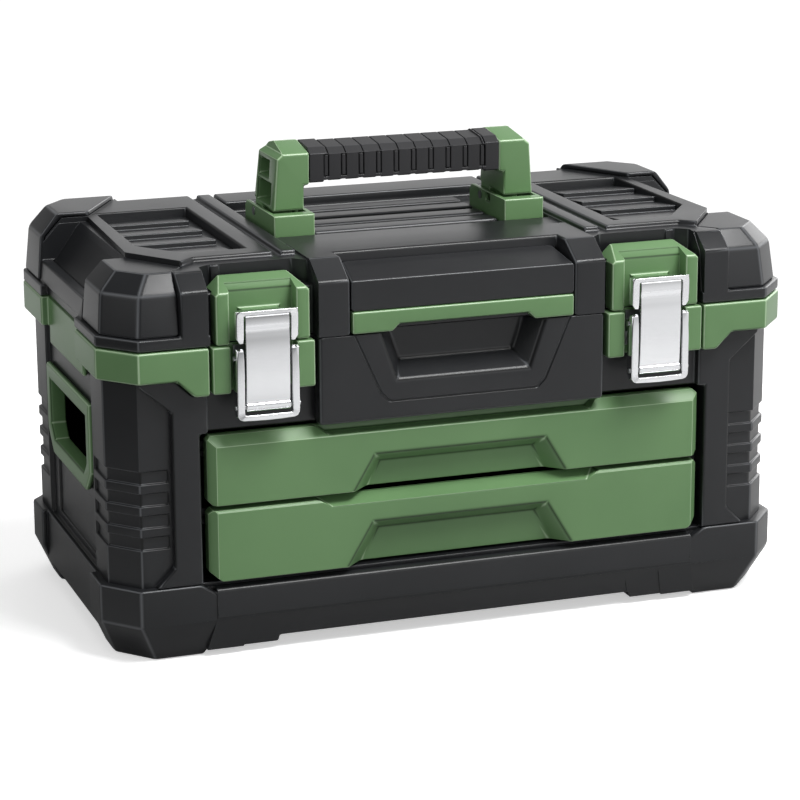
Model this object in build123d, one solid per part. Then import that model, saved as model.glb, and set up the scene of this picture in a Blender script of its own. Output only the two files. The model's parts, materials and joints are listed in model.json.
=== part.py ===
from build123d import *
import os
from math import atan2, pi, tan

# Plastic tool box: a charcoal case with two green drawers under a hinged lid.
# Millimetres. X is the width, the front looks towards -Y, Z is up, and the
# origin is on the ground at the middle of the footprint.

# Case, seen from above: an octagon with cut corners
case_width = 508.0
case_depth = 266.0
corner_cut_x = 22.3
corner_cut_y = 26.0
bumper_wall = 6.5
seat_gap = 0.2
shell_wall = 3.5
half_width = case_width / 2
half_depth = case_depth / 2
corner_slope = corner_cut_y / corner_cut_x
shell_half_x = half_width - bumper_wall - seat_gap
shell_half_y = half_depth - bumper_wall - seat_gap

# Base tray: bumpers at the corners, a rail along the front and the rear
bumper_top = 54.6
bumper_width = 76.0
bumper_depth = 58.0
end_step = 4.0
bumper_shoulder = 11.0
bumper_shoulder_drop = 7.0
rail_drop = 3.6
rail_step = 30.5
rail_proud = 1.0
rail_taper = 5.5
rail_sink = 2.0
foot_taper = 12.0
foot_bevel_height = 28.0
foot_depth = 63.0
foot_floor = 4.0
step_width = 26.0
step_sink = 0.8
step_lean = 6.0
step_heights = (5.6, 4.8)
underside = 10.0
raised_middle = 12.0
tray_floor = 3.0
ledge_width = 5.0
ledge_thick = 4.0
rail_half = half_width - bumper_width
rail_top = bumper_top - rail_drop

# Drawers and their bay
column_width = 67.0
floor_thick = 3.0
deck_thick = 3.2
rear_wall = 4.8
lower_face_height = 50.5
upper_face_height = 41.5
upper_slope_height = 6.8
lower_slope_height = 1.5
drawer_gap = 3.5
floor_gap = 2.0
roof_gap = 2.7
drawer_side_gap = 4.8
drawer_face_proud = 1.6
drawer_front_depth = 15.1
drawer_front_wall = 3.5
drawer_edge_cut = 5.5
drawer_corner = 3.0
lower_corner_width = 8.0
lower_corner_height = 6.6
drawer_dip = 5.3
lower_finger_height = 31.1
upper_finger_height = 25.4
lower_finger_half = 65.0
upper_finger_half = 63.5
finger_depth = 12.6
finger_back_lean = 3.0
finger_roof_drop = 8.0
finger_side_step = 8.0
tray_wall = 2.2
tray_side_gap = 9.0
tray_back_gap = 9.5
tray_lift = 1.5
upper_headroom = 5.0
lower_headroom = 8.0
flange_reach = 6.0
flange_thick = 2.5
running_gap = 0.3
runner_web = 2.0
runner_width = 7.0
runner_ledge = 4.0
runner_front_gap = 2.5
bay_half = half_width - column_width
bay_back = shell_half_y - rear_wall
bay_floor = bumper_top - 0.6
shell_bottom = bay_floor - floor_thick
lower_face_bottom = bay_floor + floor_gap
lower_top = lower_face_bottom + lower_face_height
upper_face_bottom = lower_top + drawer_gap
upper_face_top = upper_face_bottom + upper_face_height
upper_top = upper_face_top + upper_slope_height
bay_roof = upper_top + roof_gap
deck_top = bay_roof + deck_thick
drawer_half = bay_half - drawer_side_gap
drawer_face = half_depth + drawer_face_proud
drawer_back = drawer_face - drawer_front_depth
lower_tray_depth = lower_face_height - lower_headroom
upper_tray_depth = upper_face_height - upper_headroom

# Main compartment and the gap under the lid
compartment_height = 61.5
lid_gap = 0.5
case_rim = bay_roof + compartment_height
lid_bottom = case_rim + lid_gap

# End walls and hand holes
end_wall_set_back = 10.0
end_recess_margin = 63.0
grip_margin = 4.0
grip_frame = 11.0
grip_height = 66.0
grip_drop = 51.5
grip_cut = 16.0
hole_cut = 10.0
grip_flange = 4.6
grip_sleeve = 7.0
grip_wall = 3.0
panel_sink = 1.5
end_wall_x = half_width - end_wall_set_back
end_recess_half = half_depth - end_recess_margin
grip_half = end_recess_half - grip_margin
grip_high = case_rim - grip_drop
grip_low = grip_high - grip_height
hole_half = grip_half - grip_frame
hole_low = grip_low + grip_frame + 1
hole_high = grip_high - grip_frame
cavity_half_x = end_wall_x - shell_wall
cavity_half_y = shell_half_y - shell_wall

# Corner columns
groove_start = 26.8
groove_pitch = 15.5
groove_count = 4
groove_height = 9.0
groove_depth = 2.0
post_proud = 6.2
post_width = 19.5
post_foot_slope = 13.4
post_head_slope = 19.0
post_inner_x = bay_half + post_width

# Green rim band
band_set_back = 0.7
band_proud = 7.0
band_cut = 23.0
band_height = 21.7
tab_drop = 11.6
tab_width = 10.5
tab_slope = 22.7
band_overlap = 5.7
band_end_proud = 3.8
band_end_margin = 18.0
band_half_x = half_width - band_set_back
band_half_y = half_depth + band_proud
band_top = case_rim - seat_gap
band_bottom = band_top - band_height
band_low = band_bottom - tab_drop
band_end_x = bay_half - band_overlap
band_mid_x = end_wall_x + band_end_proud
band_mid_half = end_recess_half - band_end_margin

# Centre panel and its finger scoop
latch_bay = 76.6
panel_proud = 6.6
scoop_margin = 44.2
scoop_slope = 11.6
scoop_height = 33.7
scoop_depth = 18.0
scoop_wall = 2.5
scoop_back_margin = 10.0
frame_margin = 25.6
frame_slope = 19.3
frame_height = 47.9
frame_corner = 6.0
line_width = 1.2
line_depth = 1.0
panel_half = band_end_x - latch_bay
panel_face = half_depth + panel_proud
panel_bottom = bay_roof - 0.1
scoop_top_half = panel_half - scoop_margin
scoop_low = case_rim - scoop_height
frame_top_half = panel_half - frame_margin
frame_low = case_rim - frame_height

# Latches
latch_offset = 37.8
housing_half = 36.0
keeper_half = 33.0
housing_proud = 8.0
housing_sink = 2.0
housing_height = 32.6
latch_recess_half = 23.2
pivot_proud = 10.0
pivot_drop = 8.0
link_proud = 13.3
link_drop = 33.5
latch_sheet = 1.5
latch_proud = 16.5
lever_half = 21.9
lever_above = 6.9
lever_below = 9.2
cheek_depth = 8.5
ear_gap = 2.4
ear_sheet = 1.6
strap_half = 15.4
strap_gap = 0.8
hook_half = 21.7
hook_rise = 24.5
hook_leg_gap = 2.6
hook_step = 0.4
claw_reach = 6.2
claw_gap = 0.8
ledge_half = 14.0
ledge_drop = 7.0
latch_pin_radius = 1.6
pin_clearance = 0.06
pin_reach = 0.8
rivet_radius = 2.8
rivet_head_height = 1.5
rivet_drop = 8.0
latch_x = band_end_x - latch_offset
housing_face = half_depth + housing_proud
housing_back = half_depth - housing_sink
housing_low = band_top - housing_height
lever_pivot_y = -half_depth - pivot_proud
lever_pivot_z = case_rim - pivot_drop
link_pivot_y = -half_depth - link_proud
link_pivot_z = lever_pivot_z - link_drop
latch_face = half_depth + latch_proud
lever_top = lever_pivot_z + lever_above
lever_bottom = link_pivot_z - lever_below
hook_top = lid_bottom + hook_rise
hook_leg_bottom = lid_bottom + hook_leg_gap
ledge_top = hook_top - latch_sheet - claw_gap

# Rear hinge
hinge_out = 12.0
hinge_radius = 5.0
hinge_pin_radius = 2.0
hinge_x = 135.0
hinge_length = 72.0
hinge_knuckle = 28.0
hinge_plate = 16.5
knuckle_gap = 0.4
hinge_y = half_depth + hinge_out
hinge_z = lid_bottom

# Lid: skirt, sloping sides and deck
skirt_height = 8.0
shoulder_height = 36.0
crown_height = 13.0
skirt_step_x = 3.3
skirt_step_y = 4.3
shoulder_step_x = 2.7
shoulder_step_y = 4.2
crown_step_x = 12.3
crown_step_y = 11.0
skirt_cut = 20.4
shoulder_cut = 20.2
crown_cut = 16.0
deck_proud = 3.5
crown_proud = 1.5
cap_wall = 3.5
cap_proud = 1.5
cap_lift = 5.0
cap_rise = 7.5
pilaster_width = 19.2
deck_wall = 3.5
cavity_drop = 9.5
cavity_taper_x = 18.5
cavity_taper_y = 12.8
skirt_top = lid_bottom + skirt_height
lid_shoulder = lid_bottom + shoulder_height
lid_top = lid_shoulder + crown_height
deck_top_lid = lid_top + deck_proud
cavity_top = lid_top - cavity_drop
pilaster_outer = band_end_x + pilaster_width
skirt_x = band_half_x - skirt_step_x
skirt_y = band_half_y - skirt_step_y
shoulder_x = skirt_x - shoulder_step_x
shoulder_y = skirt_y - shoulder_step_y
crown_x = shoulder_x - crown_step_x
crown_y = shoulder_y - crown_step_y

# Levels of the lid's sides: (z, half width, half depth, corner cut along x)
lid_levels = (
    (skirt_top, skirt_x, skirt_y, skirt_cut),
    (lid_shoulder, shoulder_x, shoulder_y, shoulder_cut),
    (lid_top, crown_x, crown_y, crown_cut),
)
rear_cap_levels = (
    (skirt_top, skirt_x + cap_proud, skirt_y + cap_proud, skirt_cut + 0.6),
    (lid_shoulder + cap_lift, shoulder_x + cap_proud, shoulder_y + cap_proud, shoulder_cut + 0.6),
    (lid_top + cap_rise, crown_x + cap_proud, crown_y + cap_proud, crown_cut + 0.6),
)

# Lid deck: strips, frames, louvres and the bed of the handle
strip_gap = 2.3
strip_width = 11.0
frame_gap = 5.6
frame_width = 14.4
deck_front_margin = 36.0
deck_rear_margin = 14.0
grille_front_margin = 53.5
grille_rear_margin = 58.0
grille_cut_back = 34.5
grille_outer_margin = 47.5
grille_front_outer = 73.0
grille_sink = 6.0
grille_foot_height = 3.5
grille_crest_height = 7.5
grille_channel = 8.0
louvre_pitch = 36.0
louvre_lead = 7.5
louvre_count = 4
bed_front_margin = 67.0
bed_rear_margin = 49.0
bed_shoulder = 32.5
bed_side_gap = 1.3
bed_sink = 5.0
rib_pitch = 25.0
rib_count = 4
rib_half = 8.5
rib_height = 4.0
rib_reach = 34.7
bay_sink = 15.0
keeper_gap = 0.8
keeper_height = 8.8
keeper_slope = 23.6
keeper_depth = 27.6
groove_margin = 22.5
groove_sink = 1.2
strip_inner = panel_half + strip_gap
strip_outer = strip_inner + strip_width
frame_inner = strip_outer + frame_gap
grille_inner = frame_inner + frame_width
deck_front = -half_depth + deck_front_margin
deck_rear = half_depth - deck_rear_margin
bed_front = -half_depth + bed_front_margin
bed_back = half_depth - bed_rear_margin
bed_half = panel_half + bed_side_gap
bed_floor = lid_top - bed_sink
bay_shelf = lid_top - bay_sink
keeper_floor = bay_shelf + keeper_gap
keeper_roof = bay_shelf + keeper_height
groove_back = half_depth - groove_sink
groove_half = panel_half - groove_margin
grille_floor = lid_top - grille_sink
grille_foot = grille_floor + grille_foot_height
grille_crest = grille_floor + grille_crest_height
front_cap_rear = -half_depth + 69
frame_knee = (pilaster_outer - 10.5, -half_depth + 27.4)
frame_front_end = (half_width - 35.5, front_cap_rear)
frame_rear_knee = (rail_half, half_depth - 5)
front_cap_zone = (
    (pilaster_outer, -half_depth - 17),
    (half_width + 6, -half_depth - 17),
    (half_width + 6, front_cap_rear),
    frame_front_end,
    frame_knee,
    (pilaster_outer, -half_depth + 15),
)
rear_cap_zone = (
    frame_rear_knee,
    (half_width - 41, half_depth - 66.5),
    (half_width + 6, half_depth - 66.5),
    (half_width + 6, half_depth + 17),
    (rail_half, half_depth + 17),
)
deck_frame = (
    (frame_inner, deck_front),
    (band_end_x - 1.3, deck_front),
    frame_knee,
    frame_front_end,
    (half_width - 40.6, half_depth - 66.5),
    frame_rear_knee,
    (rail_half, deck_rear),
    (frame_inner, deck_rear),
)
grille_front = -half_depth + grille_front_margin
grille_rear = half_depth - grille_rear_margin
grille_outline = (
    (grille_inner, grille_front),
    (half_width - grille_front_outer, grille_front),
    (half_width - grille_outer_margin, grille_front + grille_cut_back),
    (half_width - grille_outer_margin - 1.5, grille_rear),
    (grille_inner, grille_rear),
)

# Handle
handle_height = 61.0
bracket_gap = 2.2
bracket_width = 30.5
bracket_front = -32.0
bracket_rear = 40.5
bracket_height = 19.0
bracket_block = 11.0
bracket_floor = 2.5
bracket_inner_wall = 3.5
bracket_outer_wall = 3.0
bracket_corner = 4.0
arm_side_gap = 0.5
arm_foot_gap = 0.3
arm_web = 5.0
handle_pivot_y = 18.0
handle_pivot_height = 14.0
handle_pin_radius = 3.0
knuckle_radius = 9.0
grip_depth_z = 27.5
core_half_y = 6.0
core_height = 11.0
core_drop = 20.0
core_reach = 16.0
grip_collar = 12.5
grip_collar_step = 0.8
slot_count = 10
slot_pitch = 13.2
slot_width = 4.0
slot_depth = 1.4
slot_height = 16.0
seam_width = 0.9
seam_depth = 0.8
screw_radius = 2.5
screw_head = 4.6
screw_head_height = 3.2
screw_height = 9.0
screw_y = -26.5
handle_top = lid_top + handle_height
bracket_outer_x = panel_half - bracket_gap
bracket_inner_x = bracket_outer_x - bracket_width
bracket_top = bed_floor + bracket_height
screw_x = (bracket_inner_x + bracket_outer_x) / 2
handle_pivot_z = bed_floor + handle_pivot_height
grip_bottom = handle_top - grip_depth_z
core_low = handle_top - core_drop
core_high = core_low + core_height
core_half_x = bracket_inner_x + core_reach

# Cutting blocks run past the box to here
far_x = half_width + 20
far_y = half_depth + 30
sky = handle_top + 10


def block(x0, x1, y0, y1, z0, z1):
    """A box between two corners."""
    return Pos((x0 + x1) / 2, (y0 + y1) / 2, (z0 + z1) / 2) * Box(x1 - x0, y1 - y0, z1 - z0)


def along_x(outline, x0, x1):
    """An outline of (y, z) points, drawn out from x0 to x1."""
    face = Face(Wire.make_polygon([(x0, y, z) for y, z in outline]))
    return extrude(face, amount=x1 - x0, dir=(1, 0, 0))


def along_y(outline, y0, y1):
    """An outline of (x, z) points, drawn out from y0 to y1."""
    face = Face(Wire.make_polygon([(x, y0, z) for x, z in outline]))
    return extrude(face, amount=y1 - y0, dir=(0, 1, 0))


def along_z(outline, z0, z1):
    """An outline of (x, y) points, drawn out from z0 to z1."""
    face = Face(Wire.make_polygon([(x, y, z0) for x, y in outline]))
    return extrude(face, amount=z1 - z0, dir=(0, 0, 1))


def rod(x0, x1, y, z, radius):
    """A round bar along X."""
    return Pos((x0 + x1) / 2, y, z) * Rot(0, 90, 0) * Cylinder(radius, x1 - x0)


def post(x, y, z0, z1, radius):
    """A round bar along Z."""
    return Pos(x, y, (z0 + z1) / 2) * Cylinder(radius, z1 - z0)


def flip_x(shape):
    """The same shape on the other side of the middle plane X = 0."""
    return mirror(shape, about=Plane.YZ)


def flip_y(shape):
    """The same shape on the other side of the plane Y = 0."""
    return mirror(shape, about=Plane.XZ)


def both_x(shape):
    """A shape and its twin across X = 0."""
    return shape + flip_x(shape)


def both_y(shape):
    """A shape and its twin across Y = 0."""
    return shape + flip_y(shape)


def cut_after(inset):
    """Corner cut along X of the octagon when every face has moved in by inset."""
    turn = atan2(corner_cut_y, corner_cut_x)
    return corner_cut_x - inset + inset * tan(turn / 2)


def ring(z, half_x, half_y, cut):
    """Corners of a level octagon whose corner faces all lean the same way."""
    rise = cut * corner_slope
    right = [(half_x - cut, -half_y), (half_x, rise - half_y)]
    right += [(half_x, half_y - rise), (half_x - cut, half_y)]
    left = [(-x, y) for x, y in reversed(right)]
    return [(x, y, z) for x, y in right + left]


def octagon(z0, z1, half_x, half_y, cut):
    """An upright octagonal block."""
    face = Face(Wire.make_polygon(ring(z0, half_x, half_y, cut)))
    return extrude(face, amount=z1 - z0, dir=(0, 0, 1))


def flat_sided(low, high):
    """A solid between two outlines of (x, y, z) points, with flat sides."""
    faces = [Face(Wire.make_polygon(low)), Face(Wire.make_polygon(high))]
    corners = list(zip(low, high))
    for (a, b), (c, d) in zip(corners, corners[1:] + corners[:1]):
        faces.append(Face(Wire.make_polygon([a, c, d, b])))
    return Solid(Shell(faces))


def stack(*levels):
    """Octagons joined by flat sloping faces, each level (z, half_x, half_y, cut)."""
    body = None
    for low, high in zip(levels, levels[1:]):
        layer = flat_sided(ring(*low), ring(*high))
        body = layer if body is None else body + layer
    return body


def pocket(front, back, y0, y1):
    """A tapered pocket between two (x, z) outlines at y0 and y1."""
    return flat_sided([(x, y0, z) for x, z in front], [(x, y1, z) for x, z in back])


def trapezoid(top_half, low_half, top, low):
    """An upright symmetric outline of (x, z) points."""
    return [(-low_half, low), (low_half, low), (top_half, top), (-top_half, top)]


def corner_zone(y_limit, x_limit, z0, z1):
    """Four boxes that hold the corners of the case."""
    zone = block(x_limit, far_x, -far_y, -y_limit, z0, z1)
    return both_x(both_y(zone))


# Base tray: bumpers, rails and the floor that the shell stands in

def make_base_tray():
    foot = (half_width - foot_taper, half_depth - foot_taper)
    body = stack(
        (0, *foot, corner_cut_x),
        (foot_bevel_height, half_width, half_depth, corner_cut_x),
        (bumper_top, half_width, half_depth, corner_cut_x),
    )
    body += both_y(along_x(rail_outline(rail_sink, underside), -rail_half, rail_half))
    # Two blocks at each end of the rail step out and down towards the bumper
    for step, low in enumerate(step_heights):
        start = rail_half - (2 - step) * step_width
        sink = rail_sink - (step + 1) * step_sink
        zone = along_y([(start, rail_step), (start + step_lean, low),
                        (rail_half + step_lean, low), (rail_half, rail_step)], -far_y, 0)
        steps = along_x(rail_outline(sink, low), start, far_x) & zone
        body += both_x(both_y(steps))
    # The rail stands lower than the bumpers, whose shoulders slope down to it
    shoulder = rail_half + bumper_shoulder
    dip = bumper_top - bumper_shoulder_drop
    slope = [(rail_half, dip), (shoulder, bumper_top), (shoulder + 1, bumper_top + 1),
             (rail_half, bumper_top + 1)]
    body -= both_x(both_y(along_y(slope, -far_y, -shell_half_y)))
    notch = block(-rail_half, rail_half, -far_y, -shell_half_y, rail_top, bumper_top + 1)
    body -= both_y(notch)
    # The ends step in between the bumpers
    bumper_start = half_depth - bumper_depth
    side_step = block(half_width - end_step, far_x, -bumper_start, bumper_start, -1, bumper_top + 1)
    body -= both_x(side_step)
    # Underside: low feet at the corners, two steps beside each, and a raised middle
    for step, height in enumerate((underside,) + step_heights):
        reach = rail_half - (2 - step) * step_width + step_lean
        arch = [(-reach - 2, -1), (reach + 2, -1), (reach + 2, 0), (reach, height)]
        arch += [(-reach, height), (-reach - 2, 0)]
        body -= along_y(arch, -far_y, far_y)
    foot_start = half_depth - foot_depth
    body -= block(-far_x, far_x, -foot_start, foot_start, -1, raised_middle)
    # The shell drops in as far as a ledge, and below it the tray is hollow
    body -= octagon(shell_bottom, bumper_top + 1, half_width - bumper_wall,
                    half_depth - bumper_wall, cut_after(bumper_wall))
    ledge = bumper_wall + ledge_width
    well = (half_width - ledge, half_depth - ledge)
    body -= octagon(shell_bottom - ledge_thick - 1, shell_bottom + 1, *well, cut_after(ledge))
    floor_z = raised_middle + tray_floor
    wall_x, wall_y = end_step + shell_wall, shell_wall
    lean = foot_taper * (1 - floor_z / foot_bevel_height)
    body -= stack(
        (floor_z, half_width - wall_x - lean, half_depth - wall_y - lean, cut_after(wall_x)),
        (foot_bevel_height, half_width - wall_x, half_depth - wall_y, cut_after(wall_x)),
        (shell_bottom - ledge_thick, half_width - wall_x, half_depth - wall_y, cut_after(wall_x)),
    )
    # The feet are hollow too
    lean = foot_taper * (1 - foot_floor / foot_bevel_height)
    inside = octagon(foot_floor, floor_z + 1, half_width - shell_wall - lean,
                     half_depth - shell_wall - lean, cut_after(shell_wall))
    start = rail_half + step_lean + 5
    return body - (inside & corner_zone(foot_start + 4, start, foot_floor, floor_z + 1))


def rail_outline(sink, low):
    """The front rail seen from its end: its lower face is set back and ends at low."""
    face, back = -half_depth - rail_proud, -half_depth + foot_taper
    taper = rail_taper * (rail_step - low) / (rail_step - underside)
    return [(face, rail_top), (face, rail_step), (face + sink, rail_step),
            (face + sink + taper, low), (back, low), (back, rail_top)]


# Body shell: columns, end walls, drawer bay and main compartment

def make_body_shell():
    skin = bumper_wall + seat_gap
    body = octagon(shell_bottom, case_rim, shell_half_x, shell_half_y, cut_after(skin))
    # End walls stand back between the columns
    end = block(end_wall_x, far_x, -end_recess_half, end_recess_half, bumper_top, sky)
    body -= both_x(end)
    # Grooves leave three ribs round each corner column
    for step in range(groove_count):
        low = bumper_top + groove_start + step * groove_pitch
        high = low + groove_height
        band = block(-far_x, far_x, -far_y, far_y, low, high)
        band -= octagon(low, high, shell_half_x - groove_depth, shell_half_y - groove_depth,
                        cut_after(skin + groove_depth))
        body -= band & corner_zone(end_recess_half + 4, post_inner_x + 2, low, high)
    # Front and rear posts stand proud of the columns and frame the drawers
    foot_z = bumper_top + seat_gap
    head_z = band_bottom - seat_gap
    frame = [
        (band_end_x, band_low - seat_gap),
        (band_end_x + tab_width + 0.1, band_low - seat_gap),
        (band_end_x + tab_slope + 0.1, head_z),
        (shell_half_x - post_head_slope, head_z),
        (shell_half_x - post_head_slope, head_z - 3.4),
        (post_inner_x, head_z - 3.4 - post_head_slope),
        (post_inner_x, foot_z + post_foot_slope),
        (post_inner_x + post_foot_slope, foot_z),
        (bay_half, foot_z),
        (bay_half, bay_roof),
        (band_end_x, bay_roof),
    ]
    body += both_x(both_y(along_y(frame, -shell_half_y - post_proud, -shell_half_y)))
    # Drawer bay, open at the front
    body -= block(-bay_half, bay_half, -far_y, bay_back, bay_floor, bay_roof)
    # Hollow behind each hand hole
    thick = skin + shell_wall + groove_depth
    low, high = shell_bottom + shell_wall, bay_roof - shell_wall
    chamber = octagon(low, high, cavity_half_x, half_depth - thick, cut_after(thick))
    body -= both_x(chamber & block(bay_half + shell_wall, far_x, -far_y, far_y, low, high))
    sleeve = hexagon(hole_half + grip_wall, hole_low - grip_wall, hole_high + grip_wall, hole_cut)
    hand_hole = along_x(sleeve, end_wall_x - grip_sleeve - seat_gap, end_wall_x + 1)
    body -= both_x(hand_hole)
    # Main compartment
    body -= octagon(deck_top, case_rim + 1, cavity_half_x, cavity_half_y,
                    cut_after(skin + shell_wall))
    # The scoop of the centre panel passes through the front wall
    half = scoop_top_half + scoop_wall + seat_gap
    low = scoop_low - scoop_wall - seat_gap
    body -= block(-half, half, -far_y, -cavity_half_y + 1, low, sky)
    # Shallow panel in the rear wall and in each end wall
    inset = 2 * grip_frame
    body -= block(inset - bay_half, bay_half - inset, shell_half_y - panel_sink, far_y,
                  bumper_top + inset, bay_roof - inset)
    low_end = block(end_wall_x - panel_sink, far_x, -hole_half, hole_half,
                    bumper_top + grip_frame / 2, grip_low - grip_frame / 2)
    body -= both_x(low_end)
    body += hinge_half("case")
    return body


def hexagon(half, low, high, cut):
    """A (y, z) outline with its two lower corners cut."""
    return [(-half, high), (half, high), (half, low + cut), (half - cut, low),
            (cut - half, low), (-half, low + cut)]


# Rear hinge: knuckles of the case and of the lid on one line

def hinge_half(side):
    half = hinge_length / 2
    inner = hinge_knuckle / 2
    if side == "case":
        spans = ((-half, -inner - knuckle_gap), (inner + knuckle_gap, half))
        low, high = case_rim - hinge_plate, case_rim
    else:
        spans = ((-inner, inner),)
        low, high = lid_bottom, skirt_top
    knuckles = None
    for start, end in spans:
        x0, x1 = hinge_x + start, hinge_x + end
        part = rod(x0, x1, hinge_y, hinge_z, hinge_radius)
        part += block(x0, x1, band_half_y - 3, hinge_y, low, high)
        knuckles = part if knuckles is None else knuckles + part
    if side == "case":
        mount = block(hinge_x - half, hinge_x + half, shell_half_y - 1, band_half_y - 1, low, high)
        knuckles += mount
    bore = hinge_pin_radius + pin_clearance
    knuckles -= rod(hinge_x - half - 1, hinge_x + half + 1, hinge_y, hinge_z, bore)
    return both_x(knuckles)


def make_hinge_pins():
    half = hinge_length / 2
    pin = rod(hinge_x - half, hinge_x + half, hinge_y, hinge_z, hinge_pin_radius)
    return both_x(pin)


# Green rim band, one piece round each end

def make_rim_band():
    low, high = band_low - 1, band_top + 1
    band = octagon(band_low, band_top, band_half_x, band_half_y, band_cut)
    band -= octagon(low, high, half_width - bumper_wall, half_depth - bumper_wall,
                    cut_after(bumper_wall))
    band &= block(band_end_x, far_x, -far_y, far_y, low, high)
    # Between its tab and the end wall the band is narrower
    tab = [(band_end_x + tab_width - 1, low), (band_end_x + tab_width, band_low)]
    tab += [(band_end_x + tab_slope, band_bottom), (far_x, band_bottom), (far_x, low)]
    band -= both_y(along_y(tab, -far_y, -band_mid_half))
    middle = block(band_mid_x, far_x, -band_mid_half, band_mid_half, low, high)
    band -= middle
    # The end piece fills the step of the end wall
    wall = end_wall_x + seat_gap
    step = end_recess_half - seat_gap
    band += block(wall, shell_half_x + 1.5, -step, step, band_bottom, band_top)
    band -= middle
    band += block(wall, band_mid_x, -band_mid_half, band_mid_half, band_low - 1.5, band_top)
    return band


# Green hand-hole frame in the end wall

def make_side_grip():
    face_x = end_wall_x + grip_flange
    plate = along_x(hexagon(grip_half, grip_low, grip_high, grip_cut), end_wall_x, face_x)
    fit = grip_wall - seat_gap
    sleeve = hexagon(hole_half + fit, hole_low - fit, hole_high + fit, hole_cut)
    plate += along_x(sleeve, end_wall_x - grip_sleeve, end_wall_x)
    opening = hexagon(hole_half, hole_low, hole_high, hole_cut)
    plate -= along_x(opening, end_wall_x - grip_sleeve - 1, face_x + 1)
    return plate


# Centre panel with the finger scoop

def scoop_outline(top_half, margin_low):
    """The scoop in front view, its sides leaning as scoop_slope says."""
    low, top = scoop_low + margin_low, case_rim + 1
    lean = scoop_slope / scoop_height
    return trapezoid(top_half, top_half - lean * (top - low), top, low)


def make_front_panel():
    wall = -shell_half_y
    body = block(-panel_half, panel_half, -panel_face, wall, panel_bottom, band_top)
    back_y = -panel_face + scoop_depth
    half = scoop_top_half + scoop_wall
    body += block(-half, half, wall, back_y + scoop_wall, scoop_low - scoop_wall, band_top)
    inner = scoop_outline(scoop_top_half, 0)
    back = scoop_outline(scoop_top_half - scoop_back_margin, scoop_back_margin)
    body -= pocket(inner, back, -panel_face, back_y)
    # A fine line round the scoop's frame
    low_half = frame_top_half - frame_slope
    for grow, sign in ((line_width, 1), (0, -1)):
        low = frame_low - grow
        outline = [
            (frame_corner - low_half - grow, low),
            (low_half - frame_corner + grow, low),
            (low_half + grow, low + frame_corner),
            (frame_top_half + grow, case_rim + 1),
            (-frame_top_half - grow, case_rim + 1),
            (-low_half - grow, low + frame_corner),
        ]
        slab = along_y(outline, -panel_face - 1, -panel_face + line_depth)
        line = slab if sign > 0 else line - slab
    return body - line


# Lower latch housing on the case

def make_latch_housing():
    x0, x1 = latch_x - housing_half, latch_x + housing_half
    body = block(x0, x1, -housing_face, -shell_half_y, housing_low, band_top)
    slot = latch_recess_half
    body -= block(latch_x - slot, latch_x + slot, -housing_face - 1, -housing_back,
                  housing_low - 1, band_top + 1)
    return body


# Latch base: a folded steel bracket whose ears hold the lever's pivot

def make_latch_base():
    ear_in = strap_half + ear_gap
    ear_out = ear_in + ear_sheet
    plate = block(latch_x - ear_out, latch_x + ear_out, -housing_back - latch_sheet,
                  -housing_back, lever_pivot_z - 18, lever_pivot_z + 7)
    # Each ear is low behind the pivot, where the lever's cheek comes down when open
    back = -housing_back - lever_pivot_y
    ear = [(back, -9), (-3.5, -3), (-4.5, 0), (-3.5, 3), (0, 4.2), (3, 3.2), (5, 1), (back, 1)]
    ear_side = [(lever_pivot_y + y, lever_pivot_z + z) for y, z in ear]
    bracket = plate
    for side in (-1, 1):
        x0, x1 = sorted((latch_x + side * ear_in, latch_x + side * ear_out))
        bracket += along_x(ear_side, x0, x1)
    bore = latch_pin_radius + pin_clearance
    bracket -= rod(latch_x - lever_half, latch_x + lever_half, lever_pivot_y, lever_pivot_z, bore)
    return bracket


def latch_pin(y, z):
    reach = lever_half + pin_reach
    return rod(latch_x - reach, latch_x + reach, y, z, latch_pin_radius)


def make_latch_rivets():
    """A rivet that holds each latch base to its housing."""
    y0, y1 = -housing_back - latch_sheet - rivet_head_height, -shell_half_y
    middle = Pos(latch_x, (y0 + y1) / 2, lever_pivot_z - rivet_drop)
    return both_x(middle * Rot(90, 0, 0) * Cylinder(rivet_radius, y1 - y0))


# Lever: a U of pressed steel with deep side flanges

def make_latch_lever():
    face, sheet = -latch_face, latch_sheet
    rear = face + cheek_depth
    leg = strap_half + strap_gap
    lever = None
    for side in (-1, 1):
        x0, x1 = sorted((latch_x + side * leg, latch_x + side * lever_half))
        outer = latch_x + side * lever_half
        inner = latch_x + side * (lever_half - sheet)
        f0, f1 = sorted((outer, inner))
        cheek = [(face, lever_bottom + 4), (face, lever_top), (face + 3, lever_top + 1),
                 (rear, lever_top - 5), (rear, lever_bottom + 6), (face + 4, lever_bottom + 2)]
        part = along_x(cheek, f0, f1)
        part += block(x0, x1, face, face + sheet, lever_bottom, lever_top)
        lever = part if lever is None else lever + part
    # The bar across the bottom turns out a little, to be caught with a finger
    bar = [(face, lever_bottom + 4.4), (face, lever_bottom + 1.5), (face - 0.5, lever_bottom),
           (face + sheet - 0.5, lever_bottom), (face + sheet, lever_bottom + 1.5),
           (face + sheet, lever_bottom + 4.4)]
    lever += along_x(bar, latch_x - lever_half, latch_x + lever_half)
    bore = latch_pin_radius + pin_clearance
    reach = lever_half + pin_reach
    for y, z in ((lever_pivot_y, lever_pivot_z), (link_pivot_y, link_pivot_z)):
        lever -= rod(latch_x - reach, latch_x + reach, y, z, bore)
    return lever


# Hook: strap, knuckle round the link pin, and the claw over the keeper

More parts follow.
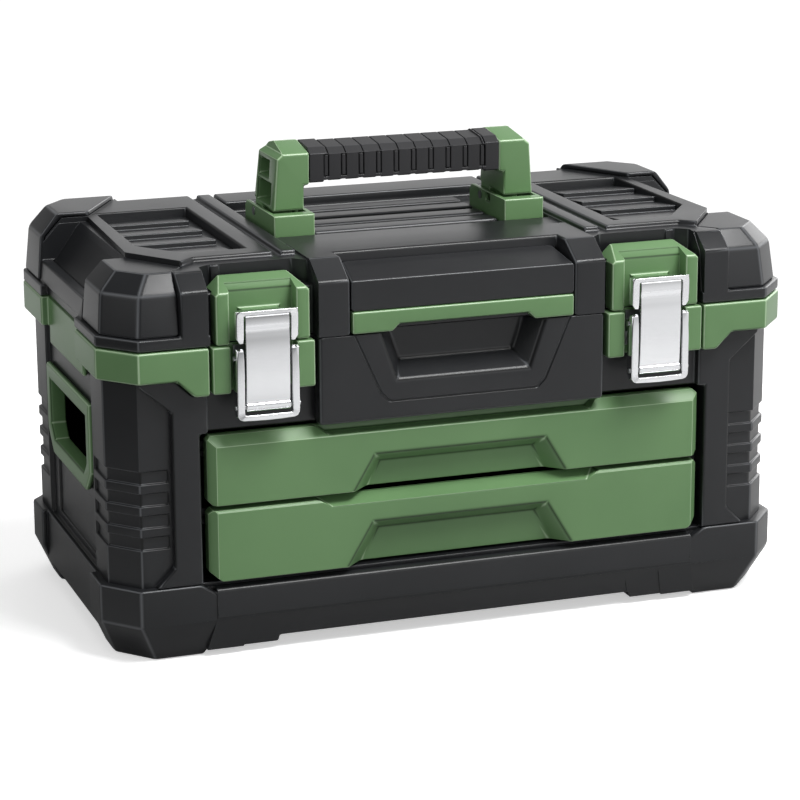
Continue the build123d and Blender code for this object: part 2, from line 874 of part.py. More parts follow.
def make_latch_hook():
    face, sheet = -latch_face, latch_sheet
    claw_y = face + claw_reach
    knuckle = -face + link_pivot_y
    strap = along_x(
        [
            (face, hook_top - sheet),
            (face, link_pivot_z),
            (face + sheet, link_pivot_z),
            (face + sheet, hook_top - sheet),
            (claw_y, hook_top - sheet),
            (claw_y, hook_top),
            (face + sheet, hook_top),
        ],
        latch_x - strap_half,
        latch_x + strap_half,
    )
    roll = rod(latch_x - strap_half, latch_x + strap_half, link_pivot_y, link_pivot_z, knuckle)
    hook = strap + roll
    front = face + hook_step
    for side in (-1, 1):
        x0, x1 = sorted((latch_x + side * (strap_half - 0.1), latch_x + side * hook_half))
        hook += block(x0, x1, front, claw_y, hook_top - sheet, hook_top)
        leg_in = latch_x + side * (strap_half + strap_gap)
        g0, g1 = sorted((leg_in, latch_x + side * hook_half))
        hook += block(g0, g1, front, front + sheet, hook_leg_bottom, hook_top)
        f0, f1 = sorted((latch_x + side * (hook_half - sheet), latch_x + side * hook_half))
        hook += block(f0, f1, front, claw_y, hook_leg_bottom + 2, hook_top)
    reach = lever_half + pin_reach
    hook -= rod(latch_x - reach, latch_x + reach, link_pivot_y, link_pivot_z,
                latch_pin_radius + pin_clearance)
    return hook


# Upper latch housing on the lid, with the keeper that the claw catches

def make_latch_keeper():
    x0, x1 = latch_x - keeper_half, latch_x + keeper_half
    wall = -shell_half_y - 0.1
    crest = -panel_face + keeper_slope
    back = -panel_face + keeper_depth
    side = [
        (-panel_face, lid_bottom),
        (-panel_face, lid_shoulder),
        (crest, keeper_roof),
        (back, keeper_roof),
        (back, keeper_floor),
        (wall, keeper_floor),
        (wall, lid_bottom),
    ]
    body = along_x(side, x0, x1)
    # Upper outer corners are cut
    for side_x, step in ((x0, 1), (x1, -1)):
        corner = [(side_x - step, sky), (side_x - step, bay_shelf), (side_x, bay_shelf),
                  (side_x + 9 * step, keeper_roof + 0.2), (side_x + 9 * step, sky)]
        body -= along_y(corner, -far_y, back + 1)
    # The recess runs up through the slope, and its back leans at the top
    slot = latch_recess_half
    recess_back = wall - grip_wall + 0.9
    hollow = [
        (-far_y, lid_bottom - 1),
        (-far_y, sky),
        (recess_back + 2.5, sky),
        (recess_back + 2.5, keeper_floor + 4.4),
        (recess_back, keeper_floor),
        (recess_back, lid_bottom - 1),
    ]
    body -= along_x(hollow, latch_x - slot, latch_x + slot)
    ledge_front = -latch_face + claw_reach + running_gap
    ledge = block(latch_x - ledge_half, latch_x + ledge_half, ledge_front, recess_back + 0.5,
                  ledge_top - ledge_drop, ledge_top)
    return body + ledge


# Drawers

def drawer_front(bottom, face_top, top, finger_height, finger_half, corner):
    """A drawer's front, its lower corners cut by corner (width, height)."""
    face, back, cut = -drawer_face, -drawer_back, drawer_edge_cut
    side = [(back, bottom), (face, bottom), (face, face_top), (face + (top - face_top), top), (back, top)]
    plan = [(-drawer_half, back), (-drawer_half, face + cut), (cut - drawer_half, face),
            (drawer_half - cut, face), (drawer_half, face + cut), (drawer_half, back)]
    body = along_x(side, -drawer_half, drawer_half) & along_z(plan, bottom, top)
    width, height = corner
    small = drawer_corner
    outline = [(width - drawer_half, bottom), (drawer_half - width, bottom),
               (drawer_half, bottom + height), (drawer_half, top - small),
               (drawer_half - small, top), (small - drawer_half, top),
               (-drawer_half, top - small), (-drawer_half, bottom + height)]
    body &= along_y(outline, face - 1, back + 1)
    # Finger recess, open at the bottom, its sides leaning out
    lean = 0.6
    finger_top = bottom + finger_height
    spread = lean * finger_height
    opening = trapezoid(finger_half, finger_half + spread + lean, finger_top, bottom - 1)
    rear_half = finger_half - finger_side_step
    rear_low = rear_half + spread + lean - lean * finger_roof_drop
    rear = trapezoid(rear_half, rear_low, finger_top - finger_roof_drop, bottom - 1)
    deep = face + finger_depth
    back_plane = [(face - 1, bottom - 2), (deep, bottom - 2), (deep, bottom),
                  (deep - finger_back_lean, finger_top), (face - 1, finger_top)]
    body -= pocket(opening, rear, face, deep) & along_x(back_plane, -far_x, far_x)
    # Beside it the front is a shell, open towards the tray
    wall = drawer_front_wall
    x0, x1 = finger_half + spread + wall, drawer_half - cut - wall
    roof = face_top - drawer_dip - wall
    body -= both_x(block(x0, x1, face + wall, back + 1, bottom + wall, roof))
    return body


def make_upper_front():
    body = drawer_front(upper_face_bottom, upper_face_top, upper_top, upper_finger_height,
                        upper_finger_half, (drawer_corner, drawer_corner))
    # Room below the overhanging centre panel
    dip = trapezoid(panel_half + 0.7, panel_half - 7.7, upper_top + 1, upper_face_top + 1)
    return body - along_y(dip, -far_y, -shell_half_y + 3)


def make_lower_front():
    body = drawer_front(lower_face_bottom, lower_top - lower_slope_height, lower_top,
                        lower_finger_height, lower_finger_half,
                        (lower_corner_width, lower_corner_height))
    # The top dips in the middle and slopes up again to the rear edge
    low = lower_top - drawer_dip
    dip = trapezoid(panel_half - 0.6, panel_half - 9.9, lower_top + 0.1, low)
    slope = [(-far_y, low), (-drawer_face, low), (-drawer_back - 2, lower_top + 0.1),
             (-far_y, lower_top + 0.1)]
    return body - (along_y(dip, -far_y, 0) & along_x(slope, -panel_half, panel_half))


def drawer_tray(bottom, depth):
    half = bay_half - tray_side_gap
    back = bay_back - tray_back_gap
    front = -drawer_back
    z0, z1 = bottom + tray_lift, bottom + tray_lift + depth
    body = block(-half, half, front, back, z0, z1)
    inner = half - tray_wall
    body -= block(-inner, inner, front + tray_wall, back - tray_wall, z0 + tray_wall, z1 + 1)
    lip = block(half, half + flange_reach, front + flange_reach, back, z1 - flange_thick, z1)
    return body + both_x(lip)


def make_runner():
    """C-shaped channels that carry the flanges of both trays."""
    x0, x1 = bay_half - runner_width, bay_half
    y0, y1 = -drawer_back + runner_front_gap, bay_back
    levels = (lower_face_bottom + tray_lift + lower_tray_depth,
              upper_face_bottom + tray_lift + upper_tray_depth)
    top = levels[1] + running_gap + runner_ledge
    low = levels[0] - flange_thick - running_gap - runner_ledge
    body = block(x1 - runner_web, x1, y0, y1, low, top)
    for level in levels:
        under = level - flange_thick - running_gap
        over = level + running_gap
        body += block(x0, x1, y0, y1, under - runner_ledge, under)
        body += block(x0, x1, y0, y1, over, over + runner_ledge)
    return body


# Lid

def lid_form(levels, inset=0.0):
    """Outer form of the lid, or the same form with its walls moved in."""
    less = corner_cut_x - cut_after(inset)
    moved = []
    for step, (z, half_x, half_y, cut) in enumerate(levels):
        drop = (0.0, 0.4 * inset, inset)[step]
        moved.append((z - drop, half_x - inset, half_y - inset, cut - less))
    return stack(*moved)


def inset_prism(outline, z0, z1, inset=0.0):
    """An upright prism on an (x, y) outline whose sides have moved in."""
    face = Face(Wire.make_polygon([(x, y, z0) for x, y in outline]))
    if inset:
        face = offset(face, amount=-inset, kind=Kind.INTERSECTION)
    return extrude(face, amount=z1 - z0, dir=(0, 0, 1))


def bay_cut():
    """Space of the upper latch housing in the lid."""
    x0, x1 = panel_half + 0.1, band_end_x - 0.8
    low = block(x0, x1, -far_y, -shell_half_y - 0.1, lid_bottom - 1, bay_shelf + 1)
    rear = -half_depth + 26
    plan = [(x1, -far_y), (x1, rear - 6), (x1 - 8.5, rear), (x0 + 9, rear), (x0, rear - 9),
            (x0, -far_y)]
    return low + along_z(plan, bay_shelf, sky)


def lid_hollow():
    """Room inside the lid, clear of the latch bays and of the front groove."""
    cut = cut_after(bumper_wall + seat_gap + shell_wall)
    knee = cavity_top - cavity_taper_x - 4
    top = (cavity_half_x - cavity_taper_x, cavity_half_y - cavity_taper_y)
    hollow = stack(
        (lid_bottom - 1, cavity_half_x, cavity_half_y, cut),
        (knee, cavity_half_x, cavity_half_y, cut),
        (cavity_top, *top, cut),
    )
    # Under the raised strips and bars of the deck the wall keeps one thickness
    wall, low = deck_wall, cavity_top - 1
    strip = block(bed_half + wall, grille_inner - wall, deck_front + wall, deck_rear - wall,
                  low, lid_top - wall)
    hollow += both_x(strip)
    hollow += block(wall - bed_half, bed_half - wall, bed_back + wall, deck_rear - wall,
                    low, deck_top_lid - wall)
    hollow += block(wall - groove_half, groove_half - wall, -half_depth + 27.5 + wall,
                    bed_front - wall, low, lid_top + crown_proud - wall)
    bay_rear = -half_depth + 26 + wall
    over_bay = block(panel_half - wall, band_end_x + wall, -far_y, bay_rear, bay_shelf - wall, sky)
    hollow -= both_x(over_bay)
    under_groove = [(-far_y, bay_shelf - 7), (-half_depth + 3, bay_shelf - 7),
                    (bay_rear + 1.5, cavity_top - 4), (bay_rear + 1.5, cavity_top),
                    (-far_y, cavity_top)]
    return hollow - along_x(under_groove, -groove_half - wall, groove_half + wall)


def make_lid_shell():
    rim = octagon(lid_bottom, skirt_top, band_half_x - 0.3, band_half_y - 0.5, band_cut)
    tall = lid_form(rear_cap_levels, cap_wall + seat_gap)
    body = rim + lid_form(lid_levels)
    # Front: pilasters beside the latches and a centre block
    face = band_half_y - 0.5
    shoulder = lid_shoulder + 2
    pilaster = [(-face, skirt_top - 1), (-face, shoulder), (-crown_y - 4, lid_top),
                (deck_front, lid_top), (deck_front, skirt_top - 1)]
    body += both_x(along_x(pilaster, band_end_x, pilaster_outer))
    crown = lid_top + crown_proud
    centre = [(-band_half_y, lid_bottom), (-band_half_y, shoulder), (-crown_y - 1.3, lid_top),
              (-crown_y + 1, crown), (bed_front, crown), (bed_front, lid_bottom)]
    body += along_x(centre, -panel_half + 0.1, panel_half - 0.1)
    # Under the corner armour the shell stands back by its thickness
    rear = both_x(inset_prism(rear_cap_zone, skirt_top, sky))
    body = (body - rear) + (tall & rear)
    front = both_x(inset_prism(front_cap_zone, skirt_top, sky))
    body -= front - lid_form(lid_levels, cap_wall + seat_gap)
    # Raised frames, strips and a rear bar on the deck
    low = lid_top - deck_wall
    body += both_x(along_z(deck_frame, low, deck_top_lid))
    strip = block(strip_inner, strip_outer, deck_front, deck_rear, low, deck_top_lid)
    body += both_x(strip)
    body += block(-panel_half, panel_half, bed_back, deck_rear, low, deck_top_lid)
    # Cuts from above and from the front
    body -= both_x(inset_prism(grille_outline, grille_floor, sky))
    body -= both_x(bay_cut())
    back = -groove_back + seat_gap
    groove_rear = -half_depth + 27.5
    middle = [(-far_y, lid_bottom - 1), (back, lid_bottom - 1), (back, lid_top - 18),
              (groove_rear, lid_top - 10), (groove_rear, sky), (-far_y, sky)]
    body -= along_x(middle, -groove_half, groove_half)
    body -= block(-bed_half, bed_half, bed_front, bed_back, lid_top - 0.5, sky)
    body -= block(-bed_half, bed_half, bed_front + bed_shoulder, bed_back, bed_floor, sky)
    for step in range(rib_count):
        y = bed_back - 24 - step * rib_pitch
        half = panel_half - rib_reach
        body += block(-half, half, y - rib_half, y + rib_half, bed_floor - 1, bed_floor + rib_height)
    # Ends: a sloping panel above a ledge
    half = end_recess_half - grip_margin
    slope = [(far_x, lid_shoulder - 13), (cavity_half_x, lid_shoulder - 13),
             (cavity_half_x, lid_shoulder - 15.5), (crown_x - 12.5, lid_top - 3.5),
             (crown_x - 16, lid_top), (crown_x - 16, sky), (far_x, sky)]
    body -= both_x(along_y(slope, -half, half))
    mid = band_mid_half
    body -= both_x(block(band_mid_x + 0.2, far_x, -mid, mid, lid_bottom - 1, skirt_top))
    # Small pillar in each latch bay
    pillar_x = band_end_x - 13.5
    body += both_x(block(pillar_x - 3, pillar_x + 3, -half_depth + 24, -half_depth + 32,
                         bay_shelf - 1, lid_top - 0.5))
    body -= lid_hollow()
    body += hinge_half("lid")
    return body - both_x(post(screw_x, screw_y, cavity_top - 1, bed_floor + 1, screw_radius + 0.2))


def make_cap(levels, zone):
    """A corner armour shell over a corner of the lid."""
    body = lid_form(levels) & inset_prism(zone, skirt_top + seat_gap, sky, seat_gap)
    return body - lid_form(levels, cap_wall)


def make_grille():
    """Louvres that rise towards the front, and a channel along their inner ends."""
    front, rear = grille_front + seat_gap, grille_rear - seat_gap
    foot, crest, low = grille_foot, grille_crest, grille_floor + seat_gap
    side = [(rear, low), (rear, foot - 1)]
    for step in reversed(range(louvre_count)):
        y = grille_front + louvre_lead + step * louvre_pitch
        side += [(y, crest), (y, foot)]
    side += [(front, foot), (front, low)]
    body = along_x(side, grille_inner, far_x)
    body &= inset_prism(grille_outline, grille_floor - 1, sky, seat_gap)
    channel = block(grille_inner - 1, grille_inner + grille_channel, -far_y, far_y, foot - 0.5, sky)
    return body - channel


def make_lid_front_panel():
    low = skirt_top + skirt_height
    rear = -half_depth + 27
    side = [(-band_half_y - 0.2, low), (-band_half_y - 0.2, lid_shoulder + 1),
            (rear, lid_top - 4.4), (rear, lid_top - 9.9), (-groove_back, lid_top - 17.7),
            (-groove_back, low)]
    half, far = groove_half - 0.8, -band_half_y - 1
    plan = [(-half, far), (half, far), (half, far + 3), (half - 3.9, rear + 1),
            (3.9 - half, rear + 1), (-half, far + 3)]
    return along_x(side, -half, half) & along_z(plan, low - 1, sky)


def make_pull_strip():
    half = groove_half - 1.2
    body = block(-half, half, -band_half_y - 1.5, -groove_back, lid_bottom + 0.3,
                 skirt_top + skirt_height - 0.5)
    wide = scoop_top_half - 7
    notch = [(-wide, lid_bottom - 1), (wide, lid_bottom - 1), (wide - 6, lid_bottom + 5),
             (6 - wide, lid_bottom + 5)]
    return body - along_y(notch, -far_y, -groove_back + 1)


# Handle: two arms, a core bar and a rubber grip, in brackets on the lid

def make_bracket():
    x0, x1 = bracket_inner_x, bracket_outer_x
    y0, y1 = bracket_front, bracket_rear
    body = block(x0, x1, y0, y1, bed_floor, bracket_top)
    inner, outer = x0 + bracket_inner_wall, x1 - bracket_outer_wall
    body -= block(inner, outer, y0 + bracket_block, y1 + 1, bed_floor + bracket_floor, sky)
    # Upper rear corners of the side walls are cut
    cut = bracket_corner
    corner = [(y1 - cut - 1, bracket_top + 1), (y1 + 1, bracket_top + 1),
              (y1 + 1, bracket_top - cut - 1)]
    body -= along_x(corner, x0 - 1, x1 + 1)
    window = handle_pivot_y - 15
    body -= block(x0 - 1, inner + 0.5, window - 4, window + 4, bracket_top - 7, bracket_top - 1.5)
    fit = handle_pin_radius + pin_clearance / 3
    body -= rod(x0 - 1, x1 + 1, handle_pivot_y, handle_pivot_z, fit)
    return body - post(screw_x, screw_y, bed_floor - 1, bed_floor + screw_height + 0.5,
                       screw_radius + pin_clearance / 3)


def make_handle_pins():
    pin = rod(bracket_inner_x - 0.5, bracket_outer_x + 0.5, handle_pivot_y, handle_pivot_z,
              handle_pin_radius)
    return both_x(pin)


def make_bracket_screws():
    """Hexagon-head screws that hold the brackets from inside the lid."""
    screw = post(screw_x, screw_y, cavity_top, bed_floor + screw_height, screw_radius)
    head = Pos(screw_x, screw_y) * RegularPolygon(screw_head, 6)
    screw += extrude(Pos(0, 0, cavity_top - screw_head_height) * head, screw_head_height)
    return both_x(screw)


def make_handle_arm():
    inner = bracket_inner_x + bracket_inner_wall + arm_side_gap
    outer = bracket_outer_x - bracket_outer_wall - arm_side_gap
    foot, top = bracket_top + arm_foot_gap, handle_top
    side = [(-19.5, foot), (-20.5, top - 5.5), (8, top), (18, top - 2), (24, top - 8),
            (29, foot + 2.5)]
    body = along_x(side, bracket_inner_x, outer)
    y, z = handle_pivot_y, handle_pivot_z
    body += rod(inner, outer, y, z, knuckle_radius)
    body += block(inner, outer, y - knuckle_radius, y + knuckle_radius, z, foot + 2.5)
    # Inboard of the bracket's wall the arm ends just under the grip
    body -= block(bracket_inner_x - 1, inner, -far_y, far_y, bed_floor, grip_bottom - 1.5)
    # Outer face leans in towards the top
    lean = [(outer, foot - 1.5), (outer - 2.8, top - 9), (outer - 7.1, top - 5.5),
            (outer - 10, top + 2), (far_x, top + 2), (far_x, foot - 1.5)]
    body -= along_y(lean, -far_y, far_y)
    # Two pockets in the outer face with a rib between them
    web = inner + arm_web
    body -= block(web, outer + 1, -2, 21, top - 25, top - 13)
    body -= block(web, outer + 1, -9, 22, foot + 3, top - 28.5)
    body -= rod(inner - 1, outer + 1, y, z, handle_pin_radius + pin_clearance)
    return body - core_bar(seat_gap)


def core_bar(grow=0.0):
    reach = core_half_x + grow
    return block(-reach, reach, -core_half_y - grow, core_half_y + grow, core_low - grow,
                 core_high + grow)


def make_handle_grip():
    half = bracket_inner_x - seat_gap
    collar = half - grip_collar
    front, rear, top, low = -20.5, 22.0, handle_top, grip_bottom
    body = along_x(grip_outline(front, rear, top, low), -half, half)
    # Between the collars the sleeve is a little thinner, and seams part its top
    less = grip_collar_step
    ribbed = grip_outline(front + less, rear - less, top - less, low + less)
    body -= block(-collar, collar, -far_y, far_y, low - 1, sky) - along_x(ribbed, -collar, collar)
    less += seam_depth
    seamed = grip_outline(front + less, rear - less, top - less, low + less)
    for step in range(slot_count):
        x = (step - (slot_count - 1) / 2) * slot_pitch
        x0, x1 = x - slot_width / 2, x + slot_width / 2
        z0 = low + 4
        face = front + grip_collar_step
        body -= block(x0, x1, front - 1, face + slot_depth, z0, z0 + slot_height)
        body -= block(x0, x1, front - 1, rear - 4, low - 1, low + grip_collar_step + 0.9)
        seam = block(x1 - seam_width, x1, front - 1, 14, top - 7.3, sky)
        body -= seam - along_x(seamed, x0, x1 + 1)
    return body - core_bar()


def grip_outline(front, rear, top, low):
    """The grip seen from its end, with a flat front and a slope at the top."""
    return [(front, low + 1), (front, top - 6.5), (front + 6.5, top - 2.5), (8, top - 0.4),
            (rear - 4, top - 5), (rear, top - 13), (rear, low + 4.5), (rear - 5, low),
            (front + 2.5, low)]


# Every piece, by name

def pair(name, shape):
    return {name + "_right": shape, name + "_left": flip_x(shape)}


latch_rivets = make_latch_rivets()

pieces = {
    "base_tray": make_base_tray(),
    "body_shell": make_body_shell(),
    "front_panel": make_front_panel(),
    "latch_rivets": latch_rivets,
    "latch_pivot_pins": both_x(latch_pin(lever_pivot_y, lever_pivot_z)),
    "hinge_pins": make_hinge_pins(),
    "lid_shell": make_lid_shell(),
    "lid_front_panel": make_lid_front_panel(),
    "pull_strip": make_pull_strip(),
    "handle_pins": make_handle_pins(),
    "bracket_screws": make_bracket_screws(),
    "handle_core": core_bar(),
    "handle_grip": make_handle_grip(),
    "upper_drawer_front": make_upper_front(),
    "upper_drawer_tray": drawer_tray(upper_face_bottom, upper_tray_depth),
    "lower_drawer_front": make_lower_front(),
    "lower_drawer_tray": drawer_tray(lower_face_bottom, lower_tray_depth),
}
pieces |= pair("rim_band", make_rim_band())
pieces |= pair("side_grip", make_side_grip())
pieces |= pair("latch_housing", make_latch_housing() - latch_rivets)
pieces |= pair("latch_base", make_latch_base() - latch_rivets)
pieces |= pair("drawer_runner", make_runner())
pieces |= pair("lid_cap_front", make_cap(lid_levels, front_cap_zone))
pieces |= pair("lid_cap_rear", make_cap(rear_cap_levels, rear_cap_zone))
pieces |= pair("lid_grille", make_grille())
pieces |= pair("latch_keeper", make_latch_keeper())
pieces |= pair("handle_bracket", make_bracket())
pieces |= pair("handle_arm", make_handle_arm())
pieces |= pair("latch_lever", make_latch_lever())
pieces |= pair("link_pin", latch_pin(link_pivot_y, link_pivot_z))
pieces |= pair("latch_hook", make_latch_hook())

os.makedirs("parts", exist_ok=True)
for name, shape in pieces.items():
    shape.label = name
    export_step(shape, f"parts/{name}.step")
    print(f"{name:22s} {len(shape.solids())} solids {shape.volume / 1000:9.1f} cm3")
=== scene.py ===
# %% [markdown]
# A plastic tool box: a charcoal case with two green drawers, a hinged lid with corner
# armour, two draw latches of chromed steel and a folding handle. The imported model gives
# every piece its true place and size. This lesson gives the pieces soft moulded edges,
# real finishes and studio light, and builds the few forms that need finer work.

# %% Load the frame
import json
import math
import bmesh
import bpy
from mathutils import Matrix, Vector
from mathutils.geometry import intersect_point_line


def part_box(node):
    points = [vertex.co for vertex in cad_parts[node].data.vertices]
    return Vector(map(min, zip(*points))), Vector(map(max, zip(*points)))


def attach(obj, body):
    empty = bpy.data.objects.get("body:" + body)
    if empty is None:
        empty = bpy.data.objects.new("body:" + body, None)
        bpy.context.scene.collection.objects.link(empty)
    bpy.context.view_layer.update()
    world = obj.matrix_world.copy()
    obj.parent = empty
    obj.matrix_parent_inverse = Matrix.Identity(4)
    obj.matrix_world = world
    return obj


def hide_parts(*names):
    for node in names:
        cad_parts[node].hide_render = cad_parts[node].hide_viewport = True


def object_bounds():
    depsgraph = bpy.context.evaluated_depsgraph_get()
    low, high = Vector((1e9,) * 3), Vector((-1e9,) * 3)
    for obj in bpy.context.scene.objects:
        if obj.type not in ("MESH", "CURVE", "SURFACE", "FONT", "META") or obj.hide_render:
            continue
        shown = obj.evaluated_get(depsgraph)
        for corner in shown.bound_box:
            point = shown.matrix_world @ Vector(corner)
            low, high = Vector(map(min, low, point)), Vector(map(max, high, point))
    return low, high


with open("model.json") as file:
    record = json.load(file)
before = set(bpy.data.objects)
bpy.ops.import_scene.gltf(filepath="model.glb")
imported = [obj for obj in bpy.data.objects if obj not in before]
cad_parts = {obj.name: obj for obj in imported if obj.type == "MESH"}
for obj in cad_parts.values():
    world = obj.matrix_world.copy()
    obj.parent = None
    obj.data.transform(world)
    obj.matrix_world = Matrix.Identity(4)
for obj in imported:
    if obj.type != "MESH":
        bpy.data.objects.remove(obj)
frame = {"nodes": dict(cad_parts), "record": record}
cad_low, cad_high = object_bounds()
nodes = frame["nodes"]
slots = {part["node"]: part["material_slot"] for part in frame["record"]["subparts"]}
body_of_node = {node: body for body, members in frame["record"]["behaviour"]["bodies"].items()
                for node in members}
size = [round(1000 * (high - low)) for low, high in zip(cad_low, cad_high)]
print(f"{len(nodes)} pieces, {size[0]} x {size[1]} x {size[2]} mm")

# %% [markdown]
# Colours are picked as sRGB hex values, as a designer reads them from a swatch. Blender
# computes with linear light, so one function turns a swatch into linear numbers. Another
# adds a shader node with its settings and links, which keeps each material short.

# %% Colour and node helpers
MM = 0.001


def linear(swatch):
    """An sRGB hex swatch as a linear colour with alpha 1."""
    levels = [int(swatch[i:i + 2], 16) / 255 for i in (1, 3, 5)]
    light = [v / 12.92 if v <= 0.04045 else ((v + 0.055) / 1.055) ** 2.4 for v in levels]
    return (*light, 1.0)


def add_node(tree, kind, links=(), **settings):
    """A new node with its sockets or properties set, and links into it as (socket, source)."""
    node = tree.nodes.new(kind)
    for name, value in settings.items():
        if hasattr(node, name):
            setattr(node, name, value)
        else:
            node.inputs[name.replace("_", " ").title()].default_value = value
    for socket, source in links:
        tree.links.new(source, node.inputs[socket])
    return node


def new_material(name):
    """An empty material with its output, its shader and the piece's own coordinates."""
    material = bpy.data.materials.new(name)
    material.use_nodes = True
    tree = material.node_tree
    tree.nodes.clear()
    shader = add_node(tree, "ShaderNodeBsdfPrincipled")
    add_node(tree, "ShaderNodeOutputMaterial", [("Surface", shader.outputs["BSDF"])])
    place = add_node(tree, "ShaderNodeTexCoord").outputs["Object"]
    return material, tree, shader, place


# %% [markdown]
# The case is moulded polypropylene with a fine spark-eroded grain. The grain spreads each
# highlight and gives the dark faces their soft grey sheen. Grains of about half a
# millimetre are drawn nearer one millimetre, so that they just show. A slow change of
# colour and gloss over a hand's width stands for the flow of the melt in the mould.
#
# The edges carry painted light: a paler colour along the middle of every ridge is a painted
# highlight, and a darker one along every groove is painted shade. Each rounded mesh carries
# a mark for this, made further down: it is 1 along the middle of a ridge, -1 along the middle
# of a groove, and 0 everywhere else.

# %% Moulded plastics
FLOW_MM = 90
# Where the painted highlight on a ridge and the painted shade in a groove begin
PAINT_START = 0.4  # of the way from a flat face to the middle of a ridge or groove
PLASTIC_IOR = 1.49
GRAINED_SHINE = 0.36  # the grain breaks up part of the reflection, so less than the usual 0.5


def moulded_plastic(name, swatch, drift_swatch, highlight_swatch, groove_shade_swatch, roughness,
                    grain_mm, grain_depth_mm):
    """Grained thermoplastic: drifting colour, painted edge highlights and groove shade, varied
    gloss, fine grain.
    """
    material, tree, shader, place = new_material(name)
    flow = add_node(tree, "ShaderNodeTexNoise", [("Vector", place)],
                    Scale=1 / (FLOW_MM * MM), Detail=3.0)
    drift = add_node(tree, "ShaderNodeMapRange", [("Value", flow.outputs["Fac"])],
                     From_Min=0.35, From_Max=0.65)
    colour = add_node(tree, "ShaderNodeMix", [("Factor", drift.outputs["Result"])],
                      data_type="RGBA")
    colour.inputs["A"].default_value = linear(swatch)
    colour.inputs["B"].default_value = linear(drift_swatch)
    painted_light = add_node(tree, "ShaderNodeAttribute", attribute_name="edge_highlight_shade").outputs["Fac"]
    # A painted highlight along the middle of each ridge, and painted shade along each groove
    for start, end, tone in ((PAINT_START, 1.0, highlight_swatch), (-PAINT_START, -1.0, groove_shade_swatch)):
        share = add_node(tree, "ShaderNodeMapRange", [("Value", painted_light)],
                         From_Min=start, From_Max=end)
        under, colour = colour, add_node(tree, "ShaderNodeMix",
                                         [("Factor", share.outputs["Result"])], data_type="RGBA")
        tree.links.new(under.outputs["Result"], colour.inputs["A"])
        colour.inputs["B"].default_value = linear(tone)
    tree.links.new(colour.outputs["Result"], shader.inputs["Base Color"])
    gloss = add_node(tree, "ShaderNodeMapRange", [("Value", flow.outputs["Fac"])],
                     To_Min=roughness - 0.04, To_Max=roughness + 0.05)
    tree.links.new(gloss.outputs["Result"], shader.inputs["Roughness"])
    grain = add_node(tree, "ShaderNodeTexNoise", [("Vector", place)],
                     Scale=1 / (grain_mm * MM), Detail=2.0)
    bump = add_node(tree, "ShaderNodeBump", [("Height", grain.outputs["Fac"])],
                    Strength=0.6, Distance=grain_depth_mm * MM)
    tree.links.new(bump.outputs["Normal"], shader.inputs["Normal"])
    shader.inputs["IOR"].default_value = PLASTIC_IOR
    shader.inputs["Specular IOR Level"].default_value = GRAINED_SHINE
    return material


# Each finish takes a paler swatch for its painted ridge highlights and a darker one for its painted
# groove shade
# Near black, with a soft sheen where a lamp lies low behind it
charcoal = moulded_plastic(
    "Charcoal polypropylene, grained", swatch="#202123", drift_swatch="#252628",
    highlight_swatch="#5A5C5F", groove_shade_swatch="#0B0C0B", roughness=0.31, grain_mm=0.9,
    grain_depth_mm=0.04)
# The same resin in a leaf green, with a flatter grain that leaves it satin
green = moulded_plastic(
    "Green polypropylene, satin moulded", swatch="#63865A", drift_swatch="#6A8D60",
    highlight_swatch="#B2CCA8", groove_shade_swatch="#2C4226", roughness=0.31, grain_mm=1.1,
    grain_depth_mm=0.025)
# Cheaper resin for the trays, duller because nobody is meant to look at it
tray_black = moulded_plastic(
    "Black polystyrene, drawer trays", swatch="#222324", drift_swatch="#272829",
    highlight_swatch="#505154", groove_shade_swatch="#101011", roughness=0.5, grain_mm=1.0,
    grain_depth_mm=0.03)
# Soft rubber on the grip: a deeper grain and a wide, weak highlight
rubber = moulded_plastic(
    "Black rubber, soft grip", swatch="#262628", drift_swatch="#2B2B2D",
    highlight_swatch="#4A4A4E", groove_shade_swatch="#101011", roughness=0.42, grain_mm=1.2,
    grain_depth_mm=0.06)
print([material.name for material in (charcoal, green, tray_black, rubber)])

# %% [markdown]
# The latches are steel pressings with bright chrome plate, a mirror that picks up the pale
# room and the dark case. Pins and brackets are zinc plated, duller and slightly streaked.
# Rolled and drawn steel has faint marks that run one way, so the pattern of both finishes is
# stretched about eight times along the height.

# %% Plated steel
def plated_metal(name, swatch, roughness, streak_mm, streak_depth_mm):
    """Plated sheet: a clean metal shader over faint rolling marks along the height."""
    material, tree, shader, place = new_material(name)
    shader.inputs["Base Color"].default_value = linear(swatch)
    shader.inputs["Metallic"].default_value = 1.0
    stretched = add_node(tree, "ShaderNodeMapping", [("Vector", place)], Scale=(1.0, 1.0, 0.12))
    marks = add_node(tree, "ShaderNodeTexNoise", [("Vector", stretched.outputs["Vector"])],
                     Scale=1 / (streak_mm * MM), Detail=2.0)
    gloss = add_node(tree, "ShaderNodeMapRange", [("Value", marks.outputs["Fac"])],
                     To_Min=roughness * 0.7, To_Max=roughness * 1.5)
    tree.links.new(gloss.outputs["Result"], shader.inputs["Roughness"])
    bump = add_node(tree, "ShaderNodeBump", [("Height", marks.outputs["Fac"])],
                    Strength=0.3, Distance=streak_depth_mm * MM)
    tree.links.new(bump.outputs["Normal"], shader.inputs["Normal"])
    return material


chrome = plated_metal("Bright chrome on pressed steel", "#DCDDDF", roughness=0.09,
                      streak_mm=14.0, streak_depth_mm=0.02)
zinc = plated_metal("Zinc plated steel", "#B4B6B8", roughness=0.32,
                    streak_mm=3.0, streak_depth_mm=0.02)
finishes = {
    "charcoal_plastic": charcoal, "green_plastic": green, "tray_plastic": tray_black,
    "bright_chrome": chrome, "zinc_steel": zinc, "black_rubber": rubber,
}
print(sorted(finishes))

